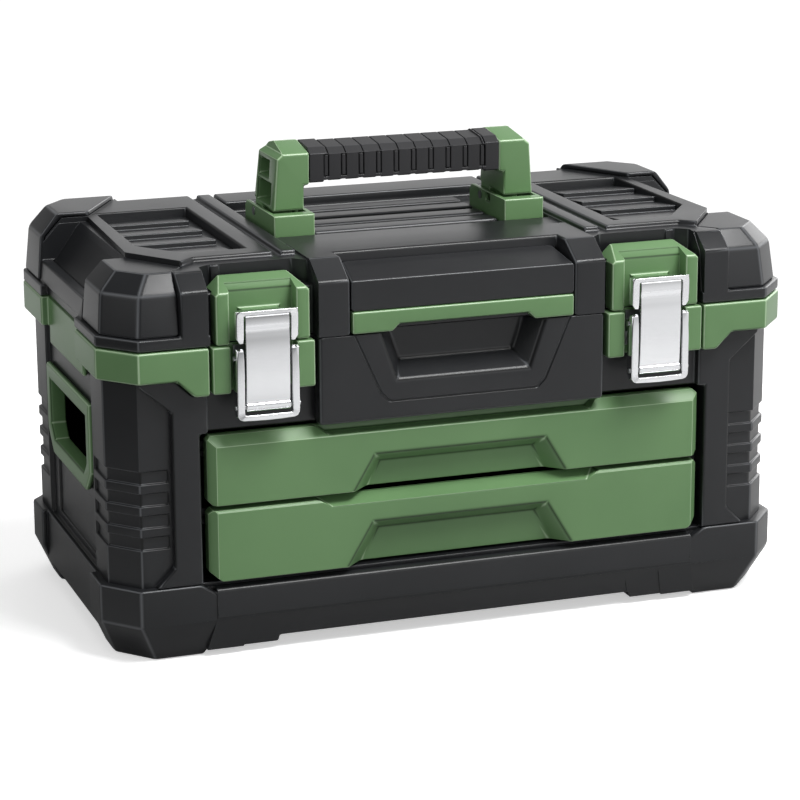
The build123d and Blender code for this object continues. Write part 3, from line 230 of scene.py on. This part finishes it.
# %% [markdown]
# Moulded pieces never have sharp corners: the tool that cuts the mould leaves a radius,
# and melt doesn't fill a knife edge. That radius is what draws the thin bright line along
# every edge. A Bevel modifier can round the model's corners, but it needs to be told how
# far. A radius needs room: two corners on one face share the width between them, and a
# corner takes a bite out of the edge that it ends on. So each edge is given as much as
# fits, and edges that run on into each other in a shallow bend get the same.

# %% Room for a radius
SHARE = 0.45  # of the room between two corners, a little less than half for each
FACING = -0.3  # dot product of the inward sides of two edges that look at each other
SHALLOW_BEND = (125, 179.5)  # degrees; in a straight run each edge keeps its own radius
TOLERANCE = 0.0001 * MM


def distance_to_edge(point, start, end):
    """How far a point lies from an edge."""
    nearest, share = intersect_point_line(point, start, end)
    nearest = start if share < 0 else end if share > 1 else nearest
    return (point - nearest).length


def room_at(edge, corners, radius):
    """The largest radius, in metres, that fits at one corner edge."""
    room = radius
    for loop in edge.link_loops:
        a, b = loop.vert.co, loop.link_loop_next.vert.co
        along = (b - a).normalized()
        inward = loop.face.normal.cross(along)
        for other in loop.face.loops:
            if other.edge is edge or other.edge not in corners:
                continue
            c, d = other.vert.co, other.link_loop_next.vert.co
            way = (d - c).normalized()
            if other in (loop.link_loop_next, loop.link_loop_prev):
                bend = math.tan(along.angle(way, 0.0) / 2)
                room = min(room, SHARE * (d - c).length / max(bend, 1e-6))
            elif (inward.dot(loop.face.normal.cross(way)) < FACING
                  and max((c - a).dot(inward), (d - a).dot(inward)) > 0):
                gap = min(distance_to_edge(a, c, d), distance_to_edge(b, c, d),
                          distance_to_edge(c, a, b), distance_to_edge(d, a, b))
                room = min(room, SHARE * gap)
    return room


def runs_on(edge, other, vert):
    """Whether two edges that meet at a vertex carry on into each other in a shallow bend."""
    one, two = (e.other_vert(vert).co - vert.co for e in (edge, other))
    return SHALLOW_BEND[0] < math.degrees(one.angle(two, 0.0)) < SHALLOW_BEND[1]


def even_out(rooms):
    """Passes the smaller radius along edges that run on, until nothing changes."""
    changed = True
    while changed:
        changed = False
        for edge in rooms:
            for vert in edge.verts:
                for other in vert.link_edges:
                    smaller = rooms.get(other, rooms[edge]) < rooms[edge] - TOLERANCE
                    if smaller and runs_on(edge, other, vert):
                        rooms[edge] = rooms[other]
                        changed = True


# %% [markdown]
# The model's pieces come as loose triangles. A copy is merged, its flat faces are joined so
# that only real corners are left, and each corner gets its room as a bevel weight. Then the
# faces are cut into triangles again, because a face with many corners could be filled in
# more than one way once its corners have moved.
#
# The base tray needs two exceptions. Its shallowest creases, of 23 degrees, run into corner
# points where no radius fits, so they stay as they are. And its rounded corners would swell
# a tenth of a millimetre past the real length, so the copy is drawn that much narrower.

# %% Merged copies
SAME_POINT_MM = 0.002
SAME_PLANE = math.radians(0.5)
CORNER = math.radians(22)
SHARP_CREASE = {"base_tray": math.radians(26)}
KEEP_INSIDE = 0.9995


def merged_copy(node, radius_mm):
    """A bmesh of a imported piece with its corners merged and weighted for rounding."""
    form = bmesh.new()
    form.from_mesh(nodes[node].data)
    bmesh.ops.remove_doubles(form, verts=form.verts, dist=SAME_POINT_MM * MM)
    bmesh.ops.dissolve_limit(form, angle_limit=SAME_PLANE, verts=form.verts, edges=form.edges,
                             use_dissolve_boundaries=False)
    weight = form.edges.layers.float.new("bevel_weight_edge")
    corner = SHARP_CREASE.get(node, CORNER)
    corners = {e for e in form.edges if len(e.link_faces) == 2 and e.calc_face_angle(0) > corner}
    rooms = {edge: room_at(edge, corners, radius_mm * MM) for edge in form.edges if edge in corners}
    even_out(rooms)
    for edge, room in rooms.items():
        edge[weight] = room / (radius_mm * MM)
    bmesh.ops.triangulate(form, faces=form.faces, quad_method="BEAUTY", ngon_method="BEAUTY")
    if node in SHARP_CREASE:
        bmesh.ops.scale(form, vec=(KEEP_INSIDE, 1.0, 1.0), verts=form.verts)
    return form


# %% [markdown]
# Every new piece ends the same way: a mesh with its finish, a Bevel modifier, and weighted
# normals that keep the large faces flat right up to the rounding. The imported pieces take
# their radii from the weights. Forms that are drawn new take them from the angle of each
# corner, and there Blender may shrink a radius that doesn't fit.

# %% Finished pieces
def finish_piece(form, name, radius_mm, finish, body, limit="WEIGHT"):
    """Turns a bmesh into a finished piece with rounded corners that rides on a body."""
    mesh = bpy.data.meshes.new(name)
    form.to_mesh(mesh)
    form.free()
    mesh.materials.clear()
    mesh.materials.append(finishes[finish])
    mesh.shade_smooth()
    piece = bpy.data.objects.new(name, mesh)
    bpy.context.scene.collection.objects.link(piece)
    bevel = piece.modifiers.new("Radius", "BEVEL")
    bevel.width = radius_mm * MM
    bevel.segments = 2
    bevel.limit_method = limit
    bevel.angle_limit = CORNER
    bevel.loop_slide = False
    bevel.use_clamp_overlap = limit != "WEIGHT"
    flat = piece.modifiers.new("Flat faces", "WEIGHTED_NORMAL")
    flat.keep_sharp = True
    flat.weight = 100
    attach(piece, body)
    return piece


# %% [markdown]
# The mark for the painted highlight on ridges and the painted shade in grooves has to know
# which faces are rounding. The Bevel modifier can tell: it gives its new faces a second
# material slot. The radii are made final, and a vertex with rounding on every side lies on
# the middle line of a radius. It is a ridge if it stands out from its neighbours, and a
# groove if it lies below them. Then the second slot goes again.

# %% Painted highlights on ridges and painted shade in grooves
def mark_painted_light(piece):
    """Makes the radii final and marks their middle lines: 1 for a painted highlight on ridges, -1
    for painted shade in grooves.
    """
    bevel, flat = piece.modifiers["Radius"], piece.modifiers["Flat faces"]
    piece.data.materials.append(piece.data.materials[0])
    bevel.material = 1
    flat.show_viewport = False
    bpy.context.view_layer.update()
    rounded = piece.evaluated_get(bpy.context.evaluated_depsgraph_get())
    form = bmesh.new()
    form.from_mesh(rounded.to_mesh())
    painted_light = form.verts.layers.float.new("edge_highlight_shade")
    # 1 where a painted highlight goes, -1 where painted shade goes
    for vert in form.verts:
        if vert.link_faces and all(face.material_index == 1 for face in vert.link_faces):
            around = sum((edge.other_vert(vert).co for edge in vert.link_edges), Vector())
            rise = vert.co - around / len(vert.link_edges)
            vert[painted_light] = math.copysign(1.0, rise.dot(vert.normal))
    for face in form.faces:
        face.material_index = 0
    rounded.to_mesh_clear()
    form.to_mesh(piece.data)
    form.free()
    piece.data.materials.pop()
    piece.modifiers.remove(bevel)
    flat.show_viewport = True


def round_node(node, radius_mm):
    """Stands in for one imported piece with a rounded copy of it."""
    piece = finish_piece(merged_copy(node, radius_mm), node + "_moulding", radius_mm, slots[node],
                         body_of_node[node])
    mark_painted_light(piece)
    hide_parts(node)
    return piece


# %% [markdown]
# The largest radii are on the pieces that take knocks: the base tray, the corner armour and
# the drawer fronts. Ribs, louvres and folded sheet get small ones. Pins, screws and the bar
# inside the grip are too small or too well hidden for a radius to show, so they keep their
# own meshes, with the finish of their slot.

# %% Rounded pieces
radii = {
    "base_tray": 3.0, "body_shell": 2.0, "front_panel": 2.6, "rim_band": 2.0,
    "side_grip": 2.0, "latch_housing": 1.8, "lid_shell": 2.0, "lid_cap_front": 2.8,
    "lid_cap_rear": 2.8, "lid_grille": 0.9, "pull_strip": 1.5, "latch_keeper": 2.0,
    "handle_bracket": 1.6, "handle_arm": 2.2, "drawer_runner": 0.4,
    "upper_drawer_front": 2.8, "lower_drawer_front": 2.8, "drawer_tray": 0.5,
    "latch_base": 0.25, "handle_grip": 0.5, "latch_rivets": 0.9,
}
made = []
for node in sorted(nodes):
    kind = next((k for k in radii if k in node), None)
    if kind:
        made.append(round_node(node, radii[kind]))
    elif "lever" not in node and "hook" not in node:
        nodes[node].data.materials.clear()
        nodes[node].data.materials.append(finishes[slots[node]])
print(f"{len(made)} rounded pieces")

# %% [markdown]
# The draw latches are pressed from steel sheet about 1.5 mm thick. Each has a hook, made
# of a sprung strap and a square yoke that catches the keeper, and a lever shaped like a
# stirrup. Chrome shows every slope, so these are drawn as smooth sections: a frame is a
# chain of stations, each with an inner and an outer corner and the depth of its face.
# One half is given, and the other half is its mirror image.

# %% Pressed frames
SHEET_MM = 1.5
ROUNDED_FRONT = [math.radians(angle) for angle in (90, 60, 30, 0)]


def section(inner, outer, face, depth, radius):
    """A closed cross-section between two (x, z) corners, its front edges rounded."""
    inner, outer = Vector(inner), Vector(outer)
    width = (outer - inner).length
    across = (outer - inner) / width
    radius = min(radius, width * SHARE)
    side = [(radius * (1 - math.sin(a)), radius * (1 - math.cos(a))) for a in ROUNDED_FRONT]
    points = side + [(width - step, drop) for step, drop in reversed(side)]
    points += [(width, depth), (0, depth)]
    return [(inner.x + across.x * step, face + drop, inner.y + across.y * step)
            for step, drop in points]


def skin_sections(form, sections):
    """Joins closed sections with quads and caps both ends."""
    rings = [[form.verts.new(point) for point in points] for points in sections]
    for one, two in zip(rings, rings[1:]):
        for i in range(len(one)):
            j = (i + 1) % len(one)
            form.faces.new((one[i], one[j], two[j], two[i]))
    form.faces.new(list(reversed(rings[0])))
    form.faces.new(rings[-1])


def pressed_frame(form, stations, centre, radius_mm=0.7):
    """A frame of sheet along stations in millimetres: (inner, outer, face), then mirrored."""
    other = [((-inner[0], inner[1]), (-outer[0], outer[1]), face)
             for inner, outer, face in reversed(stations)]
    sections = []
    for inner, outer, face in stations + other:
        corners = [(centre + x * MM, z * MM) for x, z in (inner, outer)]
        sections.append(section(*corners, face * MM, SHEET_MM * MM, radius_mm * MM))
    skin_sections(form, sections)


def plate(form, x_span, y_span, z_span):
    """A plain plate between two corners, in metres."""
    low, high = zip(x_span, y_span, z_span)
    middle = (Vector(low) + Vector(high)) / 2
    span = Matrix.Diagonal([abs(b - a) for a, b in zip(low, high)] + [1.0])
    bmesh.ops.create_cube(form, size=1.0, matrix=Matrix.Translation(middle) @ span)


# %% [markdown]
# The yoke is the frame that shows above the lever. Its legs end in the gap over the lever,
# widen to full width within a few millimetres, and turn through soft shoulders into the
# head that lies over the keeper.

# %% Yoke of the hook
LEG_MM = 21.9


def hook_yoke(form, centre, face, top):
    """The frame of the hook, from the foot of one leg over the head to the other."""
    foot = top - LEG_MM
    pressed_frame(form, [
        ((16.6, foot), (19.6, foot), face + 1.0),
        ((16.3, foot + 3.0), (21.4, foot + 3.0), face + 0.6),
        ((16.2, foot + 10.0), (21.7, foot + 10.0), face + 0.4),
        ((16.2, top - 5.5), (21.7, top - 4.0), face + 0.3),
        ((16.2, top - 3.7), (21.3, top - 1.4), face + 0.2),
        ((15.2, top - 2.9), (19.6, top - 0.2), face + 0.1),
        ((13.0, top - 2.8), (17.0, top), face + 0.1),
    ], centre)


# %% [markdown]
# The strap is the broad band down the middle, and its bends are all that the eye sees of
# it. Few points with a curve through them give bends that flow, as in sprung steel. A
# Catmull-Rom curve is used because it goes through its points, so they can be read off
# the real latch: a swell near the top, a long flat run, and a lip over the pin at the foot.

# %% Strap of the hook
STRAP_HALF_MM = 15.4
STRAP_EDGE_MM = 0.35


def smooth_path(points, steps=6):
    """A Catmull-Rom curve through (offset, height) points."""
    path = []
    ends = [points[0], *points, points[-1]]
    for a, b, c, d in zip(ends, ends[1:], ends[2:], ends[3:]):
        for k in range(steps):
            t = k / steps
            path.append([0.5 * (2 * q + (r - p) * t + (2 * p - 5 * q + 4 * r - s) * t * t
                                + (3 * q - p - 3 * r + s) * t ** 3)
                         for p, q, r, s in zip(a, b, c, d)])
    path.append(list(points[-1]))
    return path


def hook_strap(form, centre, face, top, pin_z):
    """The strap's face, swept along (set-back, height) from its top edge to its lip."""
    profile = smooth_path([
        (0.9, top - 2.6), (0.45, top - 3.6), (0.15, top - 6.5), (0.1, top - 10.0),
        (0.45, top - 13.5), (0.35, top - 17.5), (0.0, top - 26.0), (0.05, pin_z + 22.0),
        (0.45, pin_z + 9.0), (0.9, pin_z + 3.6), (0.55, pin_z + 2.6), (0.05, pin_z + 2.0),
        (0.0, pin_z - 0.5)])
    half, edge = STRAP_HALF_MM, STRAP_EDGE_MM
    across = [(-half, SHEET_MM), (-half, edge), (edge - half, 0.0), (0.0, 0.0),
              (half - edge, 0.0), (half, edge), (half, SHEET_MM)]
    skin_sections(form, [[(centre + x * MM, (face + back + drop) * MM, height * MM)
                          for x, drop in across] for back, height in profile])


# %% [markdown]
# Behind the face the sheet folds back: a claw over the keeper, a flange down each side, and
# a roll round the pin that links the hook to the lever. Each pressing is measured from the
# box of the node that it replaces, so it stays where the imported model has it.

# %% Latch hooks
CLAW_HALF_MM = 21.4
SIDE_FOLD_MM = (20.3, 21.6)
ROLL_RADIUS_MM = 3.1
ROLL_LENGTH_MM = 31.0
TO_PIN_MM = 3.2  # from the hook's face, and from its foot, to the axis of its pin


def hook_folds(form, centre, face, top, back, pin_z):
    """The parts of the hook behind its face: claw, two flanges and roll."""
    plate(form, (centre - CLAW_HALF_MM * MM, centre + CLAW_HALF_MM * MM),
          ((face + 1.2) * MM, back), ((top - 1.5) * MM, (top - 0.2) * MM))
    for hand in (-1, 1):
        plate(form, [centre + hand * x * MM for x in SIDE_FOLD_MM], ((face + 1.4) * MM, back),
              ((top - LEG_MM + 3.0) * MM, (top - 1.0) * MM))
    at_pin = Matrix.Translation((centre, (face + TO_PIN_MM) * MM, pin_z * MM))
    bmesh.ops.create_cone(form, cap_ends=True, segments=40, radius1=ROLL_RADIUS_MM * MM,
                          radius2=ROLL_RADIUS_MM * MM, depth=ROLL_LENGTH_MM * MM,
                          matrix=at_pin @ Matrix.Rotation(math.pi / 2, 4, "Y"))


def finish_pressing(form, node):
    """The drawn form as a chromed piece in place of its node."""
    bmesh.ops.recalc_face_normals(form, faces=form.faces)
    piece = finish_piece(form, node + "_pressing", 0.25, slots[node], body_of_node[node], "ANGLE")
    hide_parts(node)
    return piece


def latch_hook(side):
    """Hook of one latch: yoke, strap with a soft bend in it, and the folds behind."""
    node = "latch_hook_" + side
    low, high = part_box(node)
    centre = (low[0] + high[0]) / 2
    face, top, pin_z = low[1] / MM, high[2] / MM, low[2] / MM + TO_PIN_MM
    form = bmesh.new()
    hook_yoke(form, centre, face, top)
    hook_strap(form, centre, face, top, pin_z)
    hook_folds(form, centre, face, top, high[1], pin_z)
    return finish_pressing(form, node)


# %% [markdown]
# The lever is a stirrup: two legs that bow out a little, joined at the foot by a bar that a
# finger pulls. A flange behind each leg carries the pins. With it, both latches can be made.

# %% Latch levers
FLANGE_MM = (20.4, 21.8)
BOW_MM = 0.5  # how far the bar stands forward of the legs
TOP_MARGIN_MM = 1.0  # below the top of the node's box, for the legs' rounded ends


def lever_stirrup(form, centre, face, bottom, top):
    """The frame of the lever, from the top of one leg round the foot to the other."""
    pressed_frame(form, [
        ((16.9, top + 0.4), (19.8, top + 0.2), face + 1.6),
        ((16.5, top - 1.5), (20.9, top - 1.5), face + 0.9),
        ((16.3, top - 8.0), (21.6, top - 8.0), face + 0.3),
        ((16.3, top - 18.0), (21.9, top - 18.0), face),
        ((16.4, top - 30.0), (21.9, top - 30.0), face),
        ((16.6, bottom + 7.0), (21.9, bottom + 6.0), face),
        ((16.5, bottom + 5.0), (21.6, bottom + 3.4), face - 0.1),
        ((16.1, bottom + 4.4), (20.2, bottom + 1.4), face - 0.2),
        ((15.8, bottom + 4.2), (18.0, bottom + 0.6), face - 0.35),
        ((9.0, bottom + 4.2), (9.5, bottom + 0.15), face - 0.45),
        ((0.6, bottom + 4.2), (0.6, bottom), face - BOW_MM),
    ], centre)


def lever_flanges(form, centre, face, bottom, height):
    """The flange behind each leg: an outline of (set-back, height), swept across the leg."""
    outline = [(1.0, 4.0), (1.0, height - 1.0), (3.0, height), (8.5, height - 5.0),
               (8.5, 6.0), (4.0, 2.4)]
    for hand in (-1, 1):
        skin_sections(form, [[(centre + hand * x * MM, (face + y) * MM, (bottom + z) * MM)
                              for y, z in outline] for x in FLANGE_MM])


def latch_lever(side):
    """Lever of one latch: the stirrup, with flanges to its pins."""
    node = "latch_lever_" + side
    low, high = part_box(node)
    centre = (low[0] + high[0]) / 2
    face, bottom, top = low[1] / MM + BOW_MM, low[2] / MM, high[2] / MM - TOP_MARGIN_MM
    form = bmesh.new()
    lever_stirrup(form, centre, face, bottom, top)
    lever_flanges(form, centre, face, bottom, top - bottom)
    return finish_pressing(form, node)


latches = [make(side) for side in ("left", "right") for make in (latch_hook, latch_lever)]
print([piece.name for piece in latches])

# %% [markdown]
# Ten narrow slots cross the front of the grip, and a soft pad fills each one up to a gap of
# half a millimetre. The gap is what the eye reads as a thin dark outline. The pads are plain
# bars with rounded edges that stand on the floors of the slots and end level with the rubber
# round them.

# %% Pads in the grip
PADS = 10
PAD_PITCH_MM = 13.2
PAD_HALF_MM = 1.45
PAD_DEPTH_MM = (0.9, 2.3)  # behind the front of the grip's box
PAD_HEIGHT_MM = (4.6, 19.4)  # above its foot


def grip_pads():
    """The pads in the slots of the grip, in one piece that moves with the handle."""
    low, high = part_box("handle_grip")
    form = bmesh.new()
    for step in range(PADS):
        x = (step - (PADS - 1) / 2) * PAD_PITCH_MM * MM
        plate(form, (x - PAD_HALF_MM * MM, x + PAD_HALF_MM * MM),
              [low[1] + y * MM for y in PAD_DEPTH_MM], [low[2] + z * MM for z in PAD_HEIGHT_MM])
    body = body_of_node["handle_grip"]
    return finish_piece(form, "grip_pads", 0.5, slots["handle_grip"], body, "ANGLE")


print(grip_pads().name)

# %% [markdown]
# The box stands on a white sweep, and the floor plays three parts at once. The camera sees
# it white, with the object's shadow on it. Where it lights the object it is dim, so that
# undersides stay dark. And in reflections it runs from grey to pale along one direction,
# because dark plastic shows its shape by what it mirrors: an even white floor would flatten
# every face, and a sloping grey gives each one a tone of its own. Further out the floor
# fades into the white behind it.

# %% Floor
WHITE = linear("#FFFFFF")
PALE_WAY = (0.6, -0.55, 0.0)  # the way along the floor in which its mirror image gets paler
MIRRORED_GREYS = (0.32, 0.8)
FLOOR_LIGHT = 0.2  # how pale the floor is where it lights the object
FLOOR_LIFT = 0.5  # light of its own that keeps the floor white to the camera
FADE_M = (0.5, 1.2)  # from the middle to where the floor starts to fade, and is gone


def floor_finish():
    """White to the camera, a slope of greys in reflections, and dim where it gives light."""
    material, tree, shader, place = new_material("White studio floor")
    shader.inputs["Roughness"].default_value = 0.85
    shader.inputs["Specular IOR Level"].default_value = 0.1
    shader.inputs["Emission Color"].default_value = WHITE
    rays = add_node(tree, "ShaderNodeLightPath")
    seen = rays.outputs["Is Camera Ray"]
    along = add_node(tree, "ShaderNodeVectorMath", [(0, place)], operation="DOT_PRODUCT")
    along.inputs[1].default_value = PALE_WAY
    slope = add_node(tree, "ShaderNodeMapRange", [("Value", along.outputs["Value"])],
                     From_Min=-0.5, From_Max=0.5, To_Min=MIRRORED_GREYS[0],
                     To_Max=MIRRORED_GREYS[1])
    mirrored = add_node(tree, "ShaderNodeMath", operation="MULTIPLY", links=[
        (0, rays.outputs["Is Glossy Ray"]), (1, slope.outputs["Result"])])
    unseen = add_node(tree, "ShaderNodeMath", [(0, mirrored.outputs[0])], operation="MAXIMUM")
    unseen.inputs[1].default_value = FLOOR_LIGHT
    level = add_node(tree, "ShaderNodeMath", [(0, seen), (1, unseen.outputs[0])],
                     operation="MAXIMUM")
    tree.links.new(level.outputs[0], shader.inputs["Base Color"])
    lift = add_node(tree, "ShaderNodeMath", [(0, seen)], operation="MULTIPLY")
    lift.inputs[1].default_value = FLOOR_LIFT
    tree.links.new(lift.outputs[0], shader.inputs["Emission Strength"])
    away = add_node(tree, "ShaderNodeVectorMath", [(0, place)], operation="LENGTH")
    fade = add_node(tree, "ShaderNodeMapRange", [("Value", away.outputs["Value"])],
                    From_Min=FADE_M[0], From_Max=FADE_M[1], interpolation_type="SMOOTHSTEP")
    clear = add_node(tree, "ShaderNodeBsdfTransparent")
    blend = add_node(tree, "ShaderNodeMixShader", [
        (0, fade.outputs["Result"]), (1, shader.outputs[0]), (2, clear.outputs[0])])
    output = next(n for n in tree.nodes if n.type == "OUTPUT_MATERIAL")
    tree.links.new(blend.outputs[0], output.inputs["Surface"])
    return material


def studio_floor():
    """A round pale floor."""
    form = bmesh.new()
    bmesh.ops.create_circle(form, cap_ends=True, radius=1.6, segments=96)
    mesh = bpy.data.meshes.new("Floor")
    form.to_mesh(mesh)
    form.free()
    mesh.materials.append(floor_finish())
    floor = bpy.data.objects.new("Floor", mesh)
    bpy.context.scene.collection.objects.link(floor)
    return floor


print(studio_floor().name)

# %% [markdown]
# The sky is treated the same way: white where the camera looks at it, and a dim even light
# on the object. In reflections it is dark overhead, in front and on the left, and bright low
# down on the right and at the rear, so that faces turned that way shine and others don't.

# %% Sky
BRIGHT_WAY = (0.9, 0.25, -0.9)  # right, a little to the rear, and low
MIRRORED_SKY = (0.12, 1.0)
SKY_LIGHT = 0.32
BACKDROP = 1.1  # a little over white, so that it is pure white in the picture

world = bpy.data.worlds.new("Studio sky")
bpy.context.scene.world = world
world.use_nodes = True
sky = world.node_tree
sky.nodes.clear()
rays = add_node(sky, "ShaderNodeLightPath")
way = add_node(sky, "ShaderNodeTexCoord").outputs["Generated"]
toward = add_node(sky, "ShaderNodeVectorMath", [(0, way)], operation="DOT_PRODUCT")
toward.inputs[1].default_value = BRIGHT_WAY
glow = add_node(sky, "ShaderNodeMapRange", [("Value", toward.outputs["Value"])],
                From_Min=-0.1, From_Max=0.3, To_Min=MIRRORED_SKY[0], To_Max=MIRRORED_SKY[1])
lighting = add_node(sky, "ShaderNodeBackground", Strength=SKY_LIGHT, Color=WHITE)
mirror = add_node(sky, "ShaderNodeBackground", [("Strength", glow.outputs["Result"])],
                  Color=WHITE)
backdrop = add_node(sky, "ShaderNodeBackground", Strength=BACKDROP, Color=WHITE)
on_object = add_node(sky, "ShaderNodeMixShader", [
    (0, rays.outputs["Is Glossy Ray"]), (1, lighting.outputs[0]), (2, mirror.outputs[0])])
seen = add_node(sky, "ShaderNodeMath", operation="MAXIMUM", links=[
    (0, rays.outputs["Is Camera Ray"]), (1, rays.outputs["Is Transmission Ray"])])
whole = add_node(sky, "ShaderNodeMixShader", [
    (0, seen.outputs[0]), (1, on_object.outputs[0]), (2, backdrop.outputs[0])])
add_node(sky, "ShaderNodeOutputWorld", [("Surface", whole.outputs[0])])
print(world.name)

# %% [markdown]
# Five soft lamps stand round the box. The key hangs high in front and to the right. The
# front lamp reaches under the lid's overhang, the left one picks out the end wall, and the
# rear one rims the lid. The back lamp is there for someone who walks round the box, and the
# camera's picture hardly changes with it.

# %% Lamps
def softbox(name, place, aim_height, size_m, watts):
    """A rectangular area lamp at one place, turned to a point above the middle of the floor."""
    lamp = bpy.data.lights.new(name, "AREA")
    lamp.shape = "RECTANGLE"
    lamp.size, lamp.size_y = size_m
    lamp.energy = watts
    holder = bpy.data.objects.new(name, lamp)
    bpy.context.scene.collection.objects.link(holder)
    aim = Vector((0, 0, aim_height)) - Vector(place)
    turned = aim.to_track_quat("-Z", "Y").to_matrix().to_4x4()
    holder.matrix_world = Matrix.Translation(place) @ turned
    return holder


lamps = [
    softbox("Key softbox", (0.65, -0.95, 2.0), 0.15, (1.2, 0.8), 48),
    softbox("Front softbox", (0.9, -2.2, 0.8), 0.2, (1.8, 0.9), 8),
    softbox("Rear softbox", (0.1, 0.65, 1.9), 0.2, (1.8, 0.6), 4),
    softbox("Left softbox", (-2.0, -0.7, 0.9), 0.15, (1.2, 1.2), 5),
    softbox("Back softbox", (2.1, 1.8, 0.9), 0.2, (1.4, 1.2), 14),
]
print([lamp.name for lamp in lamps])

# %% [markdown]
# The camera stands where the photograph was taken: to the left of the front and a little
# above the lid, with a long lens, so that upright edges stay almost parallel. Its place and
# turn come from matching known corners of the box to where they appear in the picture.

# %% Camera
EYE = (-0.6648, -1.898, 0.6732)
FOCAL_MM = 126.65
yaw, pitch, roll = (math.radians(angle) for angle in (19.358, 14.992, -0.317))
ahead = Vector((math.sin(yaw) * math.cos(pitch), math.cos(yaw) * math.cos(pitch),
                -math.sin(pitch)))
lens = bpy.data.cameras.new("Product camera")
lens.lens = FOCAL_MM
lens.sensor_width = 36.0
camera = bpy.data.objects.new("Product camera", lens)
bpy.context.scene.collection.objects.link(camera)
turn = ahead.to_track_quat("-Z", "Y").to_matrix().to_4x4() @ Matrix.Rotation(roll, 4, "Z")
camera.matrix_world = Matrix.Translation(EYE) @ turn
bpy.context.scene.camera = camera
bpy.context.scene.view_settings.view_transform = "Standard"
print("camera at", [round(v, 3) for v in camera.location])

# %% Scene update
bpy.context.view_layer.update()
